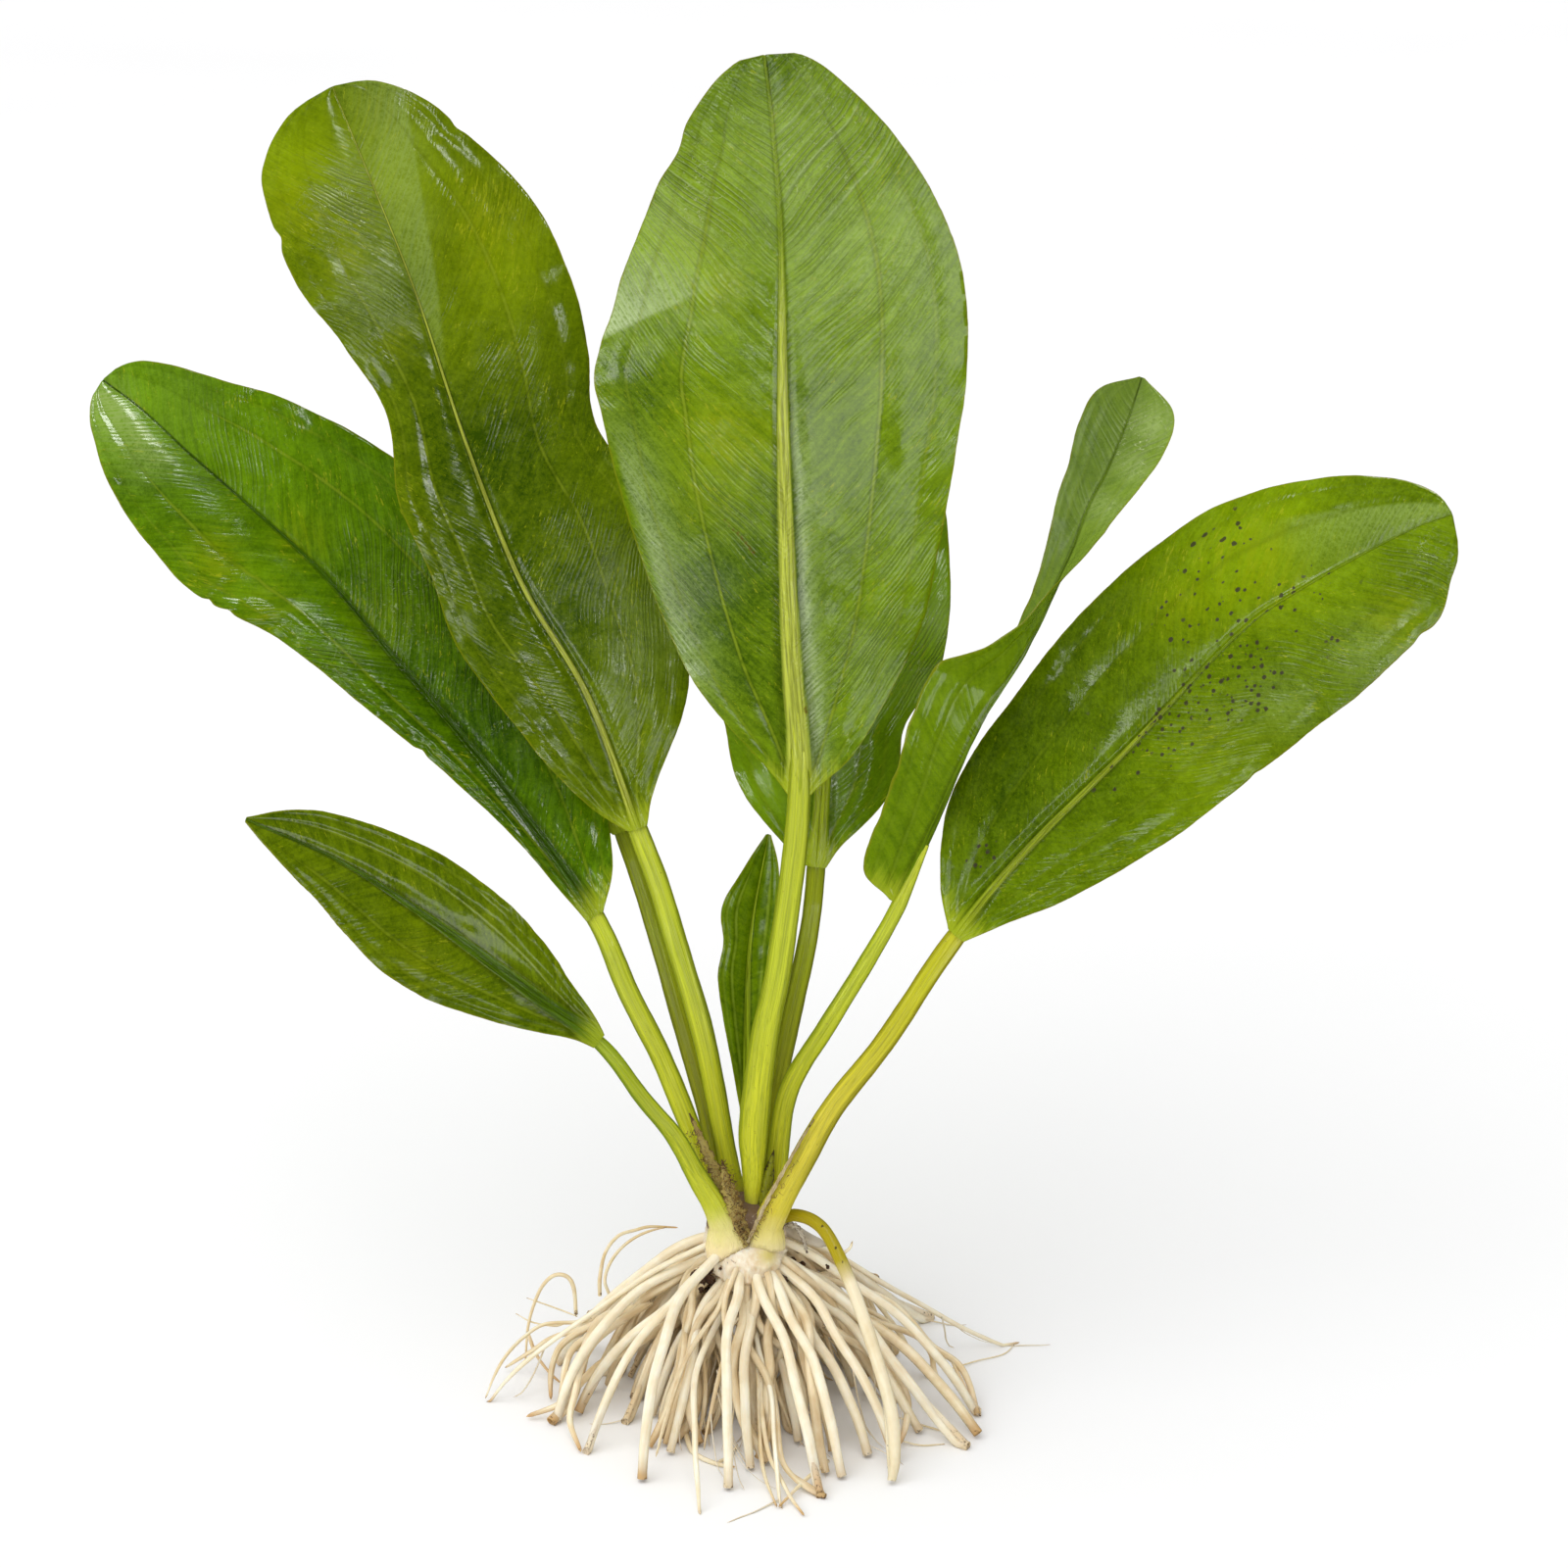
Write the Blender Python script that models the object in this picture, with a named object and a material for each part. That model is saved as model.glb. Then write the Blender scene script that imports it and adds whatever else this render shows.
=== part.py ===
# Amazon sword plant, bare-rooted, standing on its splayed roots.
#
# The origin is on the floor under the crown. +X is to the right, +Y away from the
# front and +Z up. Lengths below are in millimetres and angles in degrees; MM turns
# lengths into Blender's metres. Each blade, stalk and root is one closed solid.

import math

import bmesh
import bpy
import numpy as np

MM = 0.001
GAP = 0.3  # clear space between pieces that touch
SHADE_ANGLE = 50  # edges sharper than this stay sharp

CROWN_X = -1.0  # the crown stands a little left of the origin
CROWN_TOP = 36.0
CROWN_PROFILE = [(19, 2.4), (20.5, 4.9), (23.5, 6.5), (27, 7.2), (31, 7.5), (34, 7.6), (36, 7.2)]
CROWN_SIDES = 16
CROWN_LUMP = 0.25  # height of its low, uneven ridges
CROWN_RIDGES = 3
CROWN_TWIST = 0.4  # how far the ridges lean, in radians a millimetre

RIB_THICK = 1.9  # of a blade along its midrib, near the stalk
BLADE_THICK = 1.0  # of a blade half way from the midrib to the edge
NARROW_BLADE = 8.0  # a blade narrower than this, as near its tip, thins in proportion
NARROW_WAVE = 12.0  # a half narrower than this waves less at its edge
STALK_DEPTH = 0.78  # a stalk's front-to-back size as a share of its width
BLADE_STATIONS = 15
STALK_STATIONS = 7
STALK_SIDES = 8

ROOT_LEVELS = {"top": 30.6, "upper": 27.7, "lower": 24.8, "under": 21.9}
ROOT_DROP = 0.42  # how steeply a root leaves the crown
ROOT_CLEAR = 0.4  # extra room at the crown for a root's tilted end
ROOT_STAND = 5  # a root whose lay is no longer than this stands on its cut end
ROOT_SINK = 1.2  # how far below the floor a lying root is aimed, so that its end lies flat
ROOT_SHARES = [0, 0.1, 0.22, 0.35, 0.48, 0.61, 0.74, 0.85, 0.93, 1]
ROOT_SIDES = 6
ROOT_WIDTH = 2.4
ROOT_GIRTH = [(0, 0.85), (0.15, 1), (0.8, 1), (1, 0.8)]  # share of a root's length, share of its width
FLOOR_PRESS = 0.8  # a lying root's centre height as a share of its radius: its underside is flat
SMOOTH_STEPS = 12  # steps of a smooth curve between two given points
CURVE_STEPS = 120  # steps along a blade's or root's middle line before stations are chosen

# Each leaf's path runs from the crown up the stalk and along the midrib to the tip.
# stalk: (x, y, z, width), the last where the blade starts. rib: (x, y, z) onwards.
# outline: (share of the midrib's length, left width, right width).
# face: the way the upper or nearer side looks. turn: (share, degrees about the midrib).
# fold: how far the two halves rise towards the face, left and right.
# roll: how far their edges bend back again. wave: (height, count) of the edge.
LEAVES = {
    "front": {
        "stalk": [(0.2, -0.8, 36.3, 2.2), (0.4, -2.6, 47, 4.4), (0.6, -3.2, 57, 5.6),
                  (2.6, -4.5, 75, 5.1), (5.6, -6.5, 92, 4.7), (9, -10, 125.5, 4.2)],
        "rib": [(7.4, -15, 157), (6.2, -21, 194), (5.8, -26, 230), (4.4, -29, 250), (3.1, -31, 262.4)],
        "outline": [(0, 2.3, 2.3), (0.06, 8.5, 10.5), (0.2, 19.8, 22.5), (0.4, 28.2, 28.4),
                    (0.6, 31.6, 32), (0.75, 24.8, 29.2), (0.88, 17.6, 20), (0.96, 10, 10.8),
                    (0.99, 5, 6), (1, 0.5, 0.5)],
        "face": (0, -1, 0.1),
        "turn": [(0, 0), (1, 0)],
        "fold": (-14, -14),
        "roll": (-8, -8),
        "wave": (1.2, 2.5),
    },
    "upper_left": {
        "stalk": [(-2.2, 5.2, 36.3, 3.2), (-4.6, 4.6, 46.5, 3.8), (-8.9, 4.4, 71, 4.3),
                  (-14.1, 5, 90.6, 4.2), (-17.4, 7, 101.7, 4.1), (-21.1, 8, 112, 3.8)],
        "rib": [(-30, 10, 137.5), (-42, 13, 158.5), (-51.8, 17, 184), (-60.3, 21, 210.5),
                (-68.7, 24, 232.4), (-74.6, 26, 247.3)],
        "outline": [(0, 2, 2), (0.05, 7, 6), (0.15, 13, 18), (0.3, 16, 27), (0.4, 14.5, 28),
                    (0.5, 15, 23.5), (0.6, 12, 26.5), (0.7, 15.6, 27.5), (0.8, 19.4, 25),
                    (0.91, 18.8, 17.5), (0.97, 12.5, 9.5), (1, 0.5, 0.5)],
        "face": (0.05, -1, 0.25),
        "turn": [(0, 0), (1, 0)],
        "fold": (16, 16),
        "roll": (22, 24),
        "wave": (1.6, 3),
    },
    "back_left": {
        "stalk": [(-5.9, 4.4, 36.3, 2.4), (-8.6, 7, 53, 2.8), (-12.6, 9, 69, 3.2), (-17.7, 12, 88, 3.2),
                  (-21.1, 14, 99, 3), (-24.4, 15.5, 108.5, 2.8)],
        "rib": [(-32.4, 22, 128), (-41.7, 31, 149), (-49.1, 41, 173), (-55.9, 51, 194.5)],
        "outline": [(0, 1.6, 1.6), (0.1, 8, 8), (0.3, 15, 15), (0.5, 17, 17), (0.7, 15, 15),
                    (0.88, 9.5, 9.5), (0.97, 4, 4), (1, 0.5, 0.5)],
        "face": (0, -1, 0.5),
        "turn": [(0, 0), (1, 0)],
        "fold": (12, 12),
        "roll": (16, 16),
        "wave": (1.2, 2.5),
    },
    "left": {
        "stalk": [(-6.2, 0.8, 36.3, 3.4), (-8, 1.6, 43.3, 3.8), (-10.9, 2, 51.6, 4), (-16.9, 4, 67, 4),
                  (-23.3, 6, 80.2, 4), (-29.3, 8, 94.4, 3.6)],
        "rib": [(-41.1, 12, 111.6), (-55.5, 16, 129.6), (-66.8, 19, 142.5), (-79.5, 22, 157.5),
                (-94, 25, 170.7), (-103.8, 27, 179.1), (-112.5, 29, 187), (-119.8, 31, 192.1)],
        "outline": [(0, 1.9, 1.9), (0.06, 3, 9), (0.2, 5, 19), (0.4, 9.6, 26), (0.55, 13.4, 26),
                    (0.7, 18.6, 23), (0.8, 17.8, 19), (0.9, 13.6, 12.4), (0.96, 8.8, 7), (1, 0.5, 0.5)],
        "face": (0.1, -1, 0.35),
        "turn": [(0, 0), (1, 0)],
        "fold": (34, 12),
        "roll": (30, 18),
        "wave": (1.4, 3.5),
    },
    "lower_left": {
        "stalk": [(-5.1, -4.4, 36.3, 5.9), (-7.1, -5, 41, 4.6), (-10.2, -6, 47.2, 3.9), (-14.2, -8, 56.3, 3.4),
                  (-20.1, -10, 65.2, 3.0), (-27.8, -14, 78.4, 2.6)],
        "rib": [(-38.3, -19, 89), (-55, -26, 106), (-71.3, -33, 121), (-87, -40, 131.8)],
        "outline": [(0, 1.6, 1.6), (0.1, 3.6, 4.6), (0.25, 8.2, 8.8), (0.45, 12.6, 10.6),
                    (0.6, 12.4, 10.4), (0.8, 7.8, 7.4), (0.92, 4, 4.4), (1, 0.5, 0.5)],
        "face": (0, -1, 0.7),
        "turn": [(0, 0), (1, 0)],
        "fold": (14, 14),
        "roll": (16, 16),
        "wave": (0.8, 2.5),
    },
    "back": {
        "stalk": [(2.2, 4.8, 36.3, 3), (3.1, 4.6, 46, 3.3), (3.8, 4.6, 55, 3.6), (6.7, 5.2, 70.6, 3.8),
                  (10.7, 5.4, 90.6, 3.6), (12.3, 6.5, 105, 3.4)],
        "rib": [(13.9, 10, 131.8), (12.6, 18, 163.4), (9, 30, 190), (6.3, 40, 206)],
        "outline": [(0, 1.9, 1.9), (0.05, 8, 5), (0.15, 16, 13.4), (0.25, 18.6, 14.8),
                    (0.35, 21, 21.6), (0.5, 24, 24), (0.7, 22, 23), (0.86, 15.5, 16), (0.96, 8, 8),
                    (1, 0.5, 0.5)],
        "face": (0, -1, 0.3),
        "turn": [(0, 0), (1, 0)],
        "fold": (12, 12),
        "roll": (18, 18),
        "wave": (1.5, 3),
    },
    "young": {
        "stalk": [(0, 2.2, 36.3, 1.8), (-0.6, 2, 47, 2.1), (-0.8, 2, 57, 2.4)],
        "rib": [(-0.7, 2.4, 75.5), (0.1, 2.8, 93), (3.4, 2.4, 113)],
        "outline": [(0, 1.2, 1.2), (0.25, 3.6, 3), (0.5, 6, 4.4), (0.62, 5.4, 4.6),
                    (0.75, 6.4, 4.2), (0.9, 3.4, 2.8), (1, 0.5, 0.5)],
        "face": (0.1, -1, 0),
        "turn": [(0, 0), (1, 0)],
        "fold": (34, 38),
        "roll": (14, 6),
        "wave": (0.6, 2.5),
    },
    "twisted": {
        "stalk": [(4.9, 1.6, 36.3, 3.4), (5.2, 1.2, 49, 4), (7.4, 0.2, 62.7, 3.7), (14.6, -2, 76.7, 3.4),
                  (21.8, -4, 90.4, 3.1), (27.6, -5, 102.2, 2.8)],
        "rib": [(34.8, -8, 121), (41.6, -10, 138.7), (49.2, -10, 151.7), (56.8, -8, 168.4), (60.2, -6, 177.8),
                (63.7, -4, 184.5), (67.1, -2, 192.9), (69.6, 0, 200.4)],
        "outline": [(0, 1.6, 1.6), (0.05, 8, 5), (0.2, 9.2, 7.5), (0.4, 10.8, 8), (0.5, 8.6, 6),
                    (0.6, 5, 3.4), (0.7, 5.4, 4), (0.8, 6.6, 5.6), (0.9, 8.2, 7.8), (0.96, 7, 7),
                    (1, 0.5, 0.5)],
        "face": (0, -1, 0.15),
        "turn": [(0, -42), (0.42, -50), (0.6, -95), (0.74, -155), (1, -182)],
        "fold": (-28, -34),
        "roll": (10, 10),
        "wave": (0.6, 2.5),
    },
    "right": {
        "stalk": [(3.2, -4.6, 36.3, 5.8), (5.6, -5.4, 42, 5.2), (9.1, -6, 49.2, 4.8), (15.5, -7, 61.9, 4.3),
                  (25.4, -8, 76.3, 3.9), (37.9, -8, 97, 3.6)],
        "rib": [(51, -8, 114.3), (68.3, -9, 133.7), (86.5, -12, 156), (96.4, -14, 164.8), (114.2, -18, 176.8),
                (122.5, -20, 181)],
        "outline": [(0, 1.9, 1.9), (0.05, 8, 5), (0.15, 16.5, 11), (0.3, 21.2, 16), (0.5, 22.8, 19.8),
                    (0.7, 20.6, 22), (0.85, 15.6, 18.6), (0.93, 10.5, 15.2), (0.98, 4.5, 9), (1, 0.5, 0.5)],
        "face": (-0.1, -1, 0.5),
        "turn": [(0, 0), (1, 0)],
        "fold": (10, 10),
        "roll": (16, 20),
        "wave": (1.2, 3),
    },
}

# Dry scraps of old leaf sheath between the stalks, as narrow blades: path, half width and thickness.
SCRAPS = {
    "sheath_scrap_left": {"path": [(-0.9, -4.3, 39.5), (-2.4, -4.8, 46), (-4.6, -4.8, 53)], "half": 1.1},
    "sheath_scrap_right": {"path": [(2.9, -1.0, 36.3), (3.7, -1.7, 43), (4.0, -2.0, 50)], "half": 0.9},
}
SCRAP_THICK = 0.6
SCRAP_SHAPE = [0.6, 0.9, 1, 0.9, 0.7, 0.3]  # width at even steps from foot to tip, as a share
SCRAP_FACE = (0, -1, 0.1)
SCRAP_SIDES = 6

# Roots: azimuth on the crown (0 is right, 270 the front), level, tip (x, y), push (how far it
# leaves straight outwards), hang and lay (the height of its last drop, and how far before the
# tip that is), bow (sideways), width as a share of ROOT_WIDTH.
ROOTS = {
    "root_front_left_cut": (230, "top", (-20, -38), 15, 24, 5, 1, 1.05),
    "root_front_long_thin": (244, "under", (-9, -50), 18, 12, 8, 3, 0.7),
    "root_front_cut": (262, "upper", (-4, -41), 8, 22, 5, 1, 1),
    "root_front_inner": (272, "lower", (0, -34), 8, 14, 5, 1, 0.95),
    "root_front_sweeping": (284, "upper", (13, -44), 9, 12, 8, -2, 1),
    "root_front_thin": (280, "under", (6, -48), 13, 5, 9, 0, 0.55),
    "root_front_right": (302, "upper", (17, -37), 11, 18, 5, 2, 1),
    "root_front_right_inner": (318, "lower", (22, -29), 10, 14, 5, 2, 1),
    "root_right_front": (321, "upper", (27, -31), 12, 16, 5, 1, 0.95),
    "root_right_low": (341, "upper", (41, -26), 15, 8, 9, 1, 1),
    "root_right_low_inner": (340, "lower", (32, -20), 12, 10, 5, 1, 0.95),
    "root_right": (352, "top", (44, -13), 16, 12, 6, 1, 0.9),
    "root_right_long_thin": (12, "top", (53, 16), 18, 3, 12, 2, 0.6),
    "root_right_inner": (5, "lower", (36, 2), 12, 8, 6, 0, 1),
    "root_back_right": (38, "upper", (36, 26), 13, 6, 8, 1, 1),
    "root_back_right_inner": (45, "lower", (24, 25), 10, 10, 5, 1, 0.95),
    "root_back_right_far": (60, "top", (25, 43), 15, 6, 10, 1, 1),
    "root_back": (84, "upper", (5, 44), 13, 8, 8, -1, 1),
    "root_back_inner": (90, "lower", (1, 33), 10, 10, 5, 0, 0.95),
    "root_back_far": (105, "top", (-12, 48), 15, 6, 10, -1, 0.9),
    "root_back_left": (128, "upper", (-22, 38), 13, 6, 8, -1, 1),
    "root_back_left_inner": (138, "lower", (-22, 24), 10, 10, 5, 0, 0.95),
    "root_back_left_far": (150, "upper", (-33, 27), 12, 6, 8, 1, 0.95),
    "root_left_thick": (172, "top", (-38, 7), 12, 9, 5, -1, 1.1),
    "root_left_long_thin": (196, "top", (-51, -8), 14, 12, 7, 1, 0.6),
    "root_left": (190, "upper", (-37, -16), 12, 18, 5, 2, 1),
    "root_left_inner": (165, "lower", (-37, 14), 12, 5, 8, 0, 0.8),
    "root_left_front": (212, "upper", (-31, -28), 12, 12, 6, 1, 0.85),
    "root_left_low": (205, "lower", (-33, -13), 10, 10, 5, 2, 1),
    "root_left_under": (180, "lower", (-30, 3), 9, 6, 7, 0, 0.9),
    "root_front_left_inner": (232, "lower", (-15, -28), 8, 12, 5, -1, 0.9),
    "root_under_front": (300, "under", (9, -24), 6, 10, 5, 1, 0.9),
    "root_under_back": (110, "under", (-8, 22), 6, 10, 5, 1, 0.9),
    "root_under_left": (215, "under", (-19, -14), 6, 9, 5, 1, 0.9),
    "root_under_right": (20, "under", (20, 8), 6, 9, 5, 1, 0.9),
}

# Thin strands that leave other roots: free paths, with their width.
STRANDS = {
    "root_loop_left": {
        "path": [(-34.2, 7.4, 12.6), (-34.2, 7.4, 16.8), (-35.8, 7.6, 19.6), (-38.6, 8, 19.2),
                 (-42.4, 7, 12.4), (-44.1, 6, 5.4), (-44.5, 4.5, 0)],
        "width": 0.8, "sides": 5, "stations": 10,
    },
    "root_loop_high": {
        "path": [(-28.4, 6.5, 17), (-28.9, 7, 22), (-26, 8, 27.4), (-19.4, 9, 29.5), (-14.3, 10, 28.5)],
        "width": 0.8, "sides": 5, "stations": 10,
    },
}

# The old yellow-green shoot at the right, which runs on as a long white root.
OLD_SHOOT = {
    "path": [(8.2, -2.4, 37.6), (12, -4.6, 37.4), (15.2, -8, 34.5), (19.6, -16, 27.5), (23.4, -25, 19.5),
             (26.2, -32, 11.5), (26.2, -39, 0)],
    "width": 2.7, "sides": 6, "stations": 10,
}
WITHERED = {
    "path": [(7.9, 1.4, 33.6), (11, 0.6, 33), (14.5, -0.6, 31)],
    "width": 1.6, "sides": 5, "stations": 4,
}

COLOURS = {
    "blade": ((0.13, 0.26, 0.02), 0.35),
    "stalk": ((0.36, 0.45, 0.04), 0.4),
    "crown": ((0.80, 0.74, 0.52), 0.5),
    "root": ((0.82, 0.74, 0.55), 0.55),
    "shoot": ((0.55, 0.50, 0.10), 0.45),
    "scrap": ((0.30, 0.20, 0.09), 0.8),
}


def material(name):
    """The named plain material, made on its first use."""
    if name in bpy.data.materials:
        return bpy.data.materials[name]
    colour, roughness = COLOURS[name]
    made = bpy.data.materials.new(name)
    made.use_nodes = True
    shader = made.node_tree.nodes["Principled BSDF"]
    shader.inputs["Base Color"].default_value = (*colour, 1)
    shader.inputs["Roughness"].default_value = roughness
    shader.inputs["Metallic"].default_value = 0
    return made


def unit(vector):
    return vector / np.linalg.norm(vector)


def smooth(rows):
    """Rows of a smooth curve through the given rows."""
    rows = np.array(rows, float)
    ends = np.vstack([2 * rows[0] - rows[1], rows, 2 * rows[-1] - rows[-2]])
    curve = []
    for a, b, c, d in zip(ends, ends[1:], ends[2:], ends[3:]):
        for t in np.arange(SMOOTH_STEPS) / SMOOTH_STEPS:
            square = 2 * a - 5 * b + 4 * c - d
            cube = 3 * b - a - 3 * c + d
            curve.append(b + 0.5 * t * ((c - a) + t * (square + t * cube)))
    return np.array(curve + [rows[-1]])


def lengths(path):
    """How far along the path each of its points lies."""
    steps = np.linalg.norm(np.diff(path[:, :3], axis=0), axis=1)
    return np.concatenate([[0], np.cumsum(steps)])


def resample(path, distances):
    """The path's rows at these distances from its start."""
    along = lengths(path)
    return np.array([np.interp(distances, along, column) for column in path.T]).T


def tangents(path):
    """The path's direction at each of its points."""
    return np.array([unit(step) for step in np.gradient(path[:, :3], axis=0)])


def loft(name, rings, finish):
    """One closed solid through the rings, in millimetres: the first ring capped, then extruded on."""
    shape = bmesh.new()
    bmesh.ops.create_circle(shape, cap_ends=True, radius=1, segments=len(rings[0]))
    end = next(iter(shape.faces))
    corners = list(end.verts)
    for ring in rings:
        if ring is not rings[0]:
            end = bmesh.ops.extrude_discrete_faces(shape, faces=[end])["faces"][0]
            corners = list(end.verts)
        for corner, point in zip(corners, ring):
            corner.co = point * MM
    bmesh.ops.holes_fill(shape, edges=[edge for edge in shape.edges if edge.is_boundary])
    bmesh.ops.recalc_face_normals(shape, faces=shape.faces)
    bmesh.ops.triangulate(shape, faces=shape.faces, quad_method="SHORT_EDGE")
    mesh = bpy.data.meshes.new(name)
    shape.to_mesh(mesh)
    shape.free()
    mesh.materials.append(material(finish))
    mesh.shade_smooth()
    mesh.set_sharp_from_angle(angle=math.radians(SHADE_ANGLE))
    solid = bpy.data.objects.new(name, mesh)
    bpy.context.scene.collection.objects.link(solid)
    return solid


def tube(path, directions, fronts, widths, depths, sides, floor=None):
    """Rings of an oval tube: its width lies across the front direction, its depth along it."""
    rings = []
    for point, direction, front, width, depth in zip(path, directions, fronts, widths, depths):
        across = unit(np.cross(direction, front))
        front = np.cross(across, direction)
        ring = []
        for corner in range(sides):
            angle = 2 * math.pi * corner / sides
            ring.append(point + across * math.cos(angle) * width / 2 + front * math.sin(angle) * depth / 2)
        ring = np.array(ring)
        if floor is not None:
            ring[:, 2] = np.maximum(ring[:, 2], floor)
        rings.append(ring)
    return rings


def blade_frames(path, face, turns):
    """Each station's directions to the right and out of the face, turned about the midrib."""
    along = lengths(path) / lengths(path)[-1]
    shares, angles = zip(*turns)
    frames = []
    for direction, share in zip(tangents(path), along):
        angle = math.radians(np.interp(share, shares, angles))
        across = unit(np.cross(direction, face))
        out = np.cross(across, direction)
        frames.append((across * math.cos(angle) + out * math.sin(angle),
                       out * math.cos(angle) - across * math.sin(angle)))
    return frames


def half_point(leaf, side, across, width, share):
    """Where a point of one half lies, to the side and out of the face; across runs from rib to edge."""
    fold = math.radians(leaf["fold"][side > 0])
    roll = math.radians(leaf["roll"][side > 0])
    height, count = leaf["wave"]
    ripple = height * math.sin(2 * math.pi * count * share + side) * across**2 * min(1, width / NARROW_WAVE)
    rise = width * (math.tan(fold) * across - 0.5 * math.tan(roll) * across**2) + ripple
    return side * width * across, rise


def make_blade(name, leaf, path):
    """The blade as rings of eight: edge, upper half, rib, upper half, edge and back underneath."""
    outline = smooth(leaf["outline"])
    stations = outline[np.linspace(0, len(outline) - 1, BLADE_STATIONS + 1).round().astype(int)]
    total = lengths(path)[-1]
    frames = blade_frames(path, leaf["face"], leaf["turn"])
    rings = []
    for share, left, right in stations:
        across, out = frames[round(share * CURVE_STEPS)]
        rib = resample(path, [share * total])[0]
        rib_half = 0.5 * (BLADE_THICK + (RIB_THICK - BLADE_THICK) * (1 - share))
        blade_half = 0.5 * BLADE_THICK * min(1, (left + right) / NARROW_BLADE)
        rib_half = min(rib_half, blade_half * 2)

        def at(side, part, lift):
            width = left if side < 0 else right
            sideways, rise = half_point(leaf, side, part, width, share)
            return rib + across * sideways + out * (rise + lift)

        rings.append(np.array([
            at(-1, 1, 0), at(-1, 0.5, blade_half), at(1, 0, rib_half), at(1, 0.5, blade_half),
            at(1, 1, 0), at(1, 0.5, -blade_half), at(1, 0, -rib_half), at(-1, 0.5, -blade_half),
        ]))
    return loft(name, rings, "blade")


def make_leaf(name, leaf):
    """The stalk up to where the blade starts, and the blade from a small gap beyond it."""
    points = [row[:3] for row in leaf["stalk"]] + leaf["rib"]
    whole = smooth(points)
    split = (len(leaf["stalk"]) - 1) * SMOOTH_STEPS
    widths = smooth([row[3:] for row in leaf["stalk"]])
    stalk = np.hstack([whole[:split + 1], widths])
    stalk = resample(stalk, np.linspace(0, lengths(stalk)[-1], STALK_STATIONS))
    front = np.array(leaf["face"], float)
    directions = tangents(stalk)
    directions[0] = (0, 0, 1)
    directions[-1] = unit(whole[split + 1] - whole[split - 1])
    widths = stalk[:, 3]
    fronts = [front] * len(stalk)
    rings = tube(stalk[:, :3], directions, fronts, widths, widths * STALK_DEPTH, STALK_SIDES)
    loft("stalk_" + name, rings, "stalk")
    rib = whole[split:]
    rib = resample(rib, np.linspace(GAP, lengths(rib)[-1], CURVE_STEPS + 1))
    make_blade("blade_" + name, leaf, rib)


def make_crown():
    """A lumpy knob with a flat top, turned from its profile."""
    rings = []
    for height, radius in CROWN_PROFILE:
        ring = []
        for side in range(CROWN_SIDES):
            angle = 2 * math.pi * side / CROWN_SIDES
            lump = CROWN_LUMP * math.sin(CROWN_RIDGES * angle + CROWN_TWIST * height)
            reach = radius + lump * (height < CROWN_TOP)
            ring.append((CROWN_X + reach * math.cos(angle), reach * math.sin(angle), height))
        rings.append(np.array(ring))
    loft("crown", rings, "crown")


def make_scrap(name, scrap):
    """A narrow flat scrap, widest a little above its foot."""
    path = smooth(scrap["path"])
    path = resample(path, np.linspace(0, lengths(path)[-1], len(SCRAP_SHAPE)))
    widths = 2 * scrap["half"] * np.array(SCRAP_SHAPE)
    depths = [SCRAP_THICK] * len(path)
    loft(name, tube(path, tangents(path), [SCRAP_FACE] * len(path), widths, depths, SCRAP_SIDES), "scrap")


def loft_root(name, path, width, plan, sides, shares, stands, finish):
    """A root along its path; plan is the level direction that it spreads in.

    One that stands ends in a flat cut on the floor, and any other lies with a flat underside.
    """
    widths = width * np.interp(np.linspace(0, 1, len(path)), *zip(*ROOT_GIRTH))
    if not stands:
        path[:, 2] = np.maximum(path[:, 2], FLOOR_PRESS * widths / 2)
    rows = np.column_stack([path, widths, tangents(path)])
    rows = resample(rows, lengths(path)[-1] * np.array(shares))
    directions = rows[:, 4:]
    if stands:
        directions[-1] = (0, 0, -1)
    across = np.cross(plan, (0, 0, 1))
    fronts = [np.cross(across, direction) for direction in directions]
    loft(name, tube(rows[:, :3], directions, fronts, rows[:, 3], rows[:, 3], sides, floor=0), finish)


def make_root(name, azimuth, level, tip, push, hang, lay, bow, share):
    """A root that goes outwards from the crown, over and down to its tip on the floor."""
    height = ROOT_LEVELS[level]
    heights, radii = zip(*CROWN_PROFILE)
    outwards = np.array((math.cos(math.radians(azimuth)), math.sin(math.radians(azimuth)), 0))
    clear = np.interp(height, heights, radii) + CROWN_LUMP + GAP + ROOT_CLEAR
    stands = lay <= ROOT_STAND
    start = np.array((CROWN_X, 0, height)) + outwards * clear
    end = np.array((*tip, 0 if stands else -ROOT_SINK))
    back = unit(np.array((start[0] - end[0], start[1] - end[1], 0)))
    sideways = np.array((-back[1], back[0], 0))
    first = start + outwards * push - np.array((0, 0, ROOT_DROP * push))
    last = end + back * lay + np.array((0, 0, hang)) + sideways * bow
    t = np.linspace(0, 1, CURVE_STEPS + 1)[:, None]
    path = (1 - t)**3 * start + 3 * (1 - t)**2 * t * first + 3 * (1 - t) * t**2 * last + t**3 * end
    loft_root(name, path, ROOT_WIDTH * share, back, ROOT_SIDES, ROOT_SHARES, stands, "root")


def make_strand(name, strand, finish):
    """A root or shoot along a free path of its own."""
    path = smooth(strand["path"])
    plan = path[-1] - path[0]
    plan[2] = 0
    shares = np.linspace(0, 1, strand["stations"] + 1)
    stands = path[-1][2] == 0
    loft_root(name, path, strand["width"], unit(plan), strand["sides"], shares, stands, finish)


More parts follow.
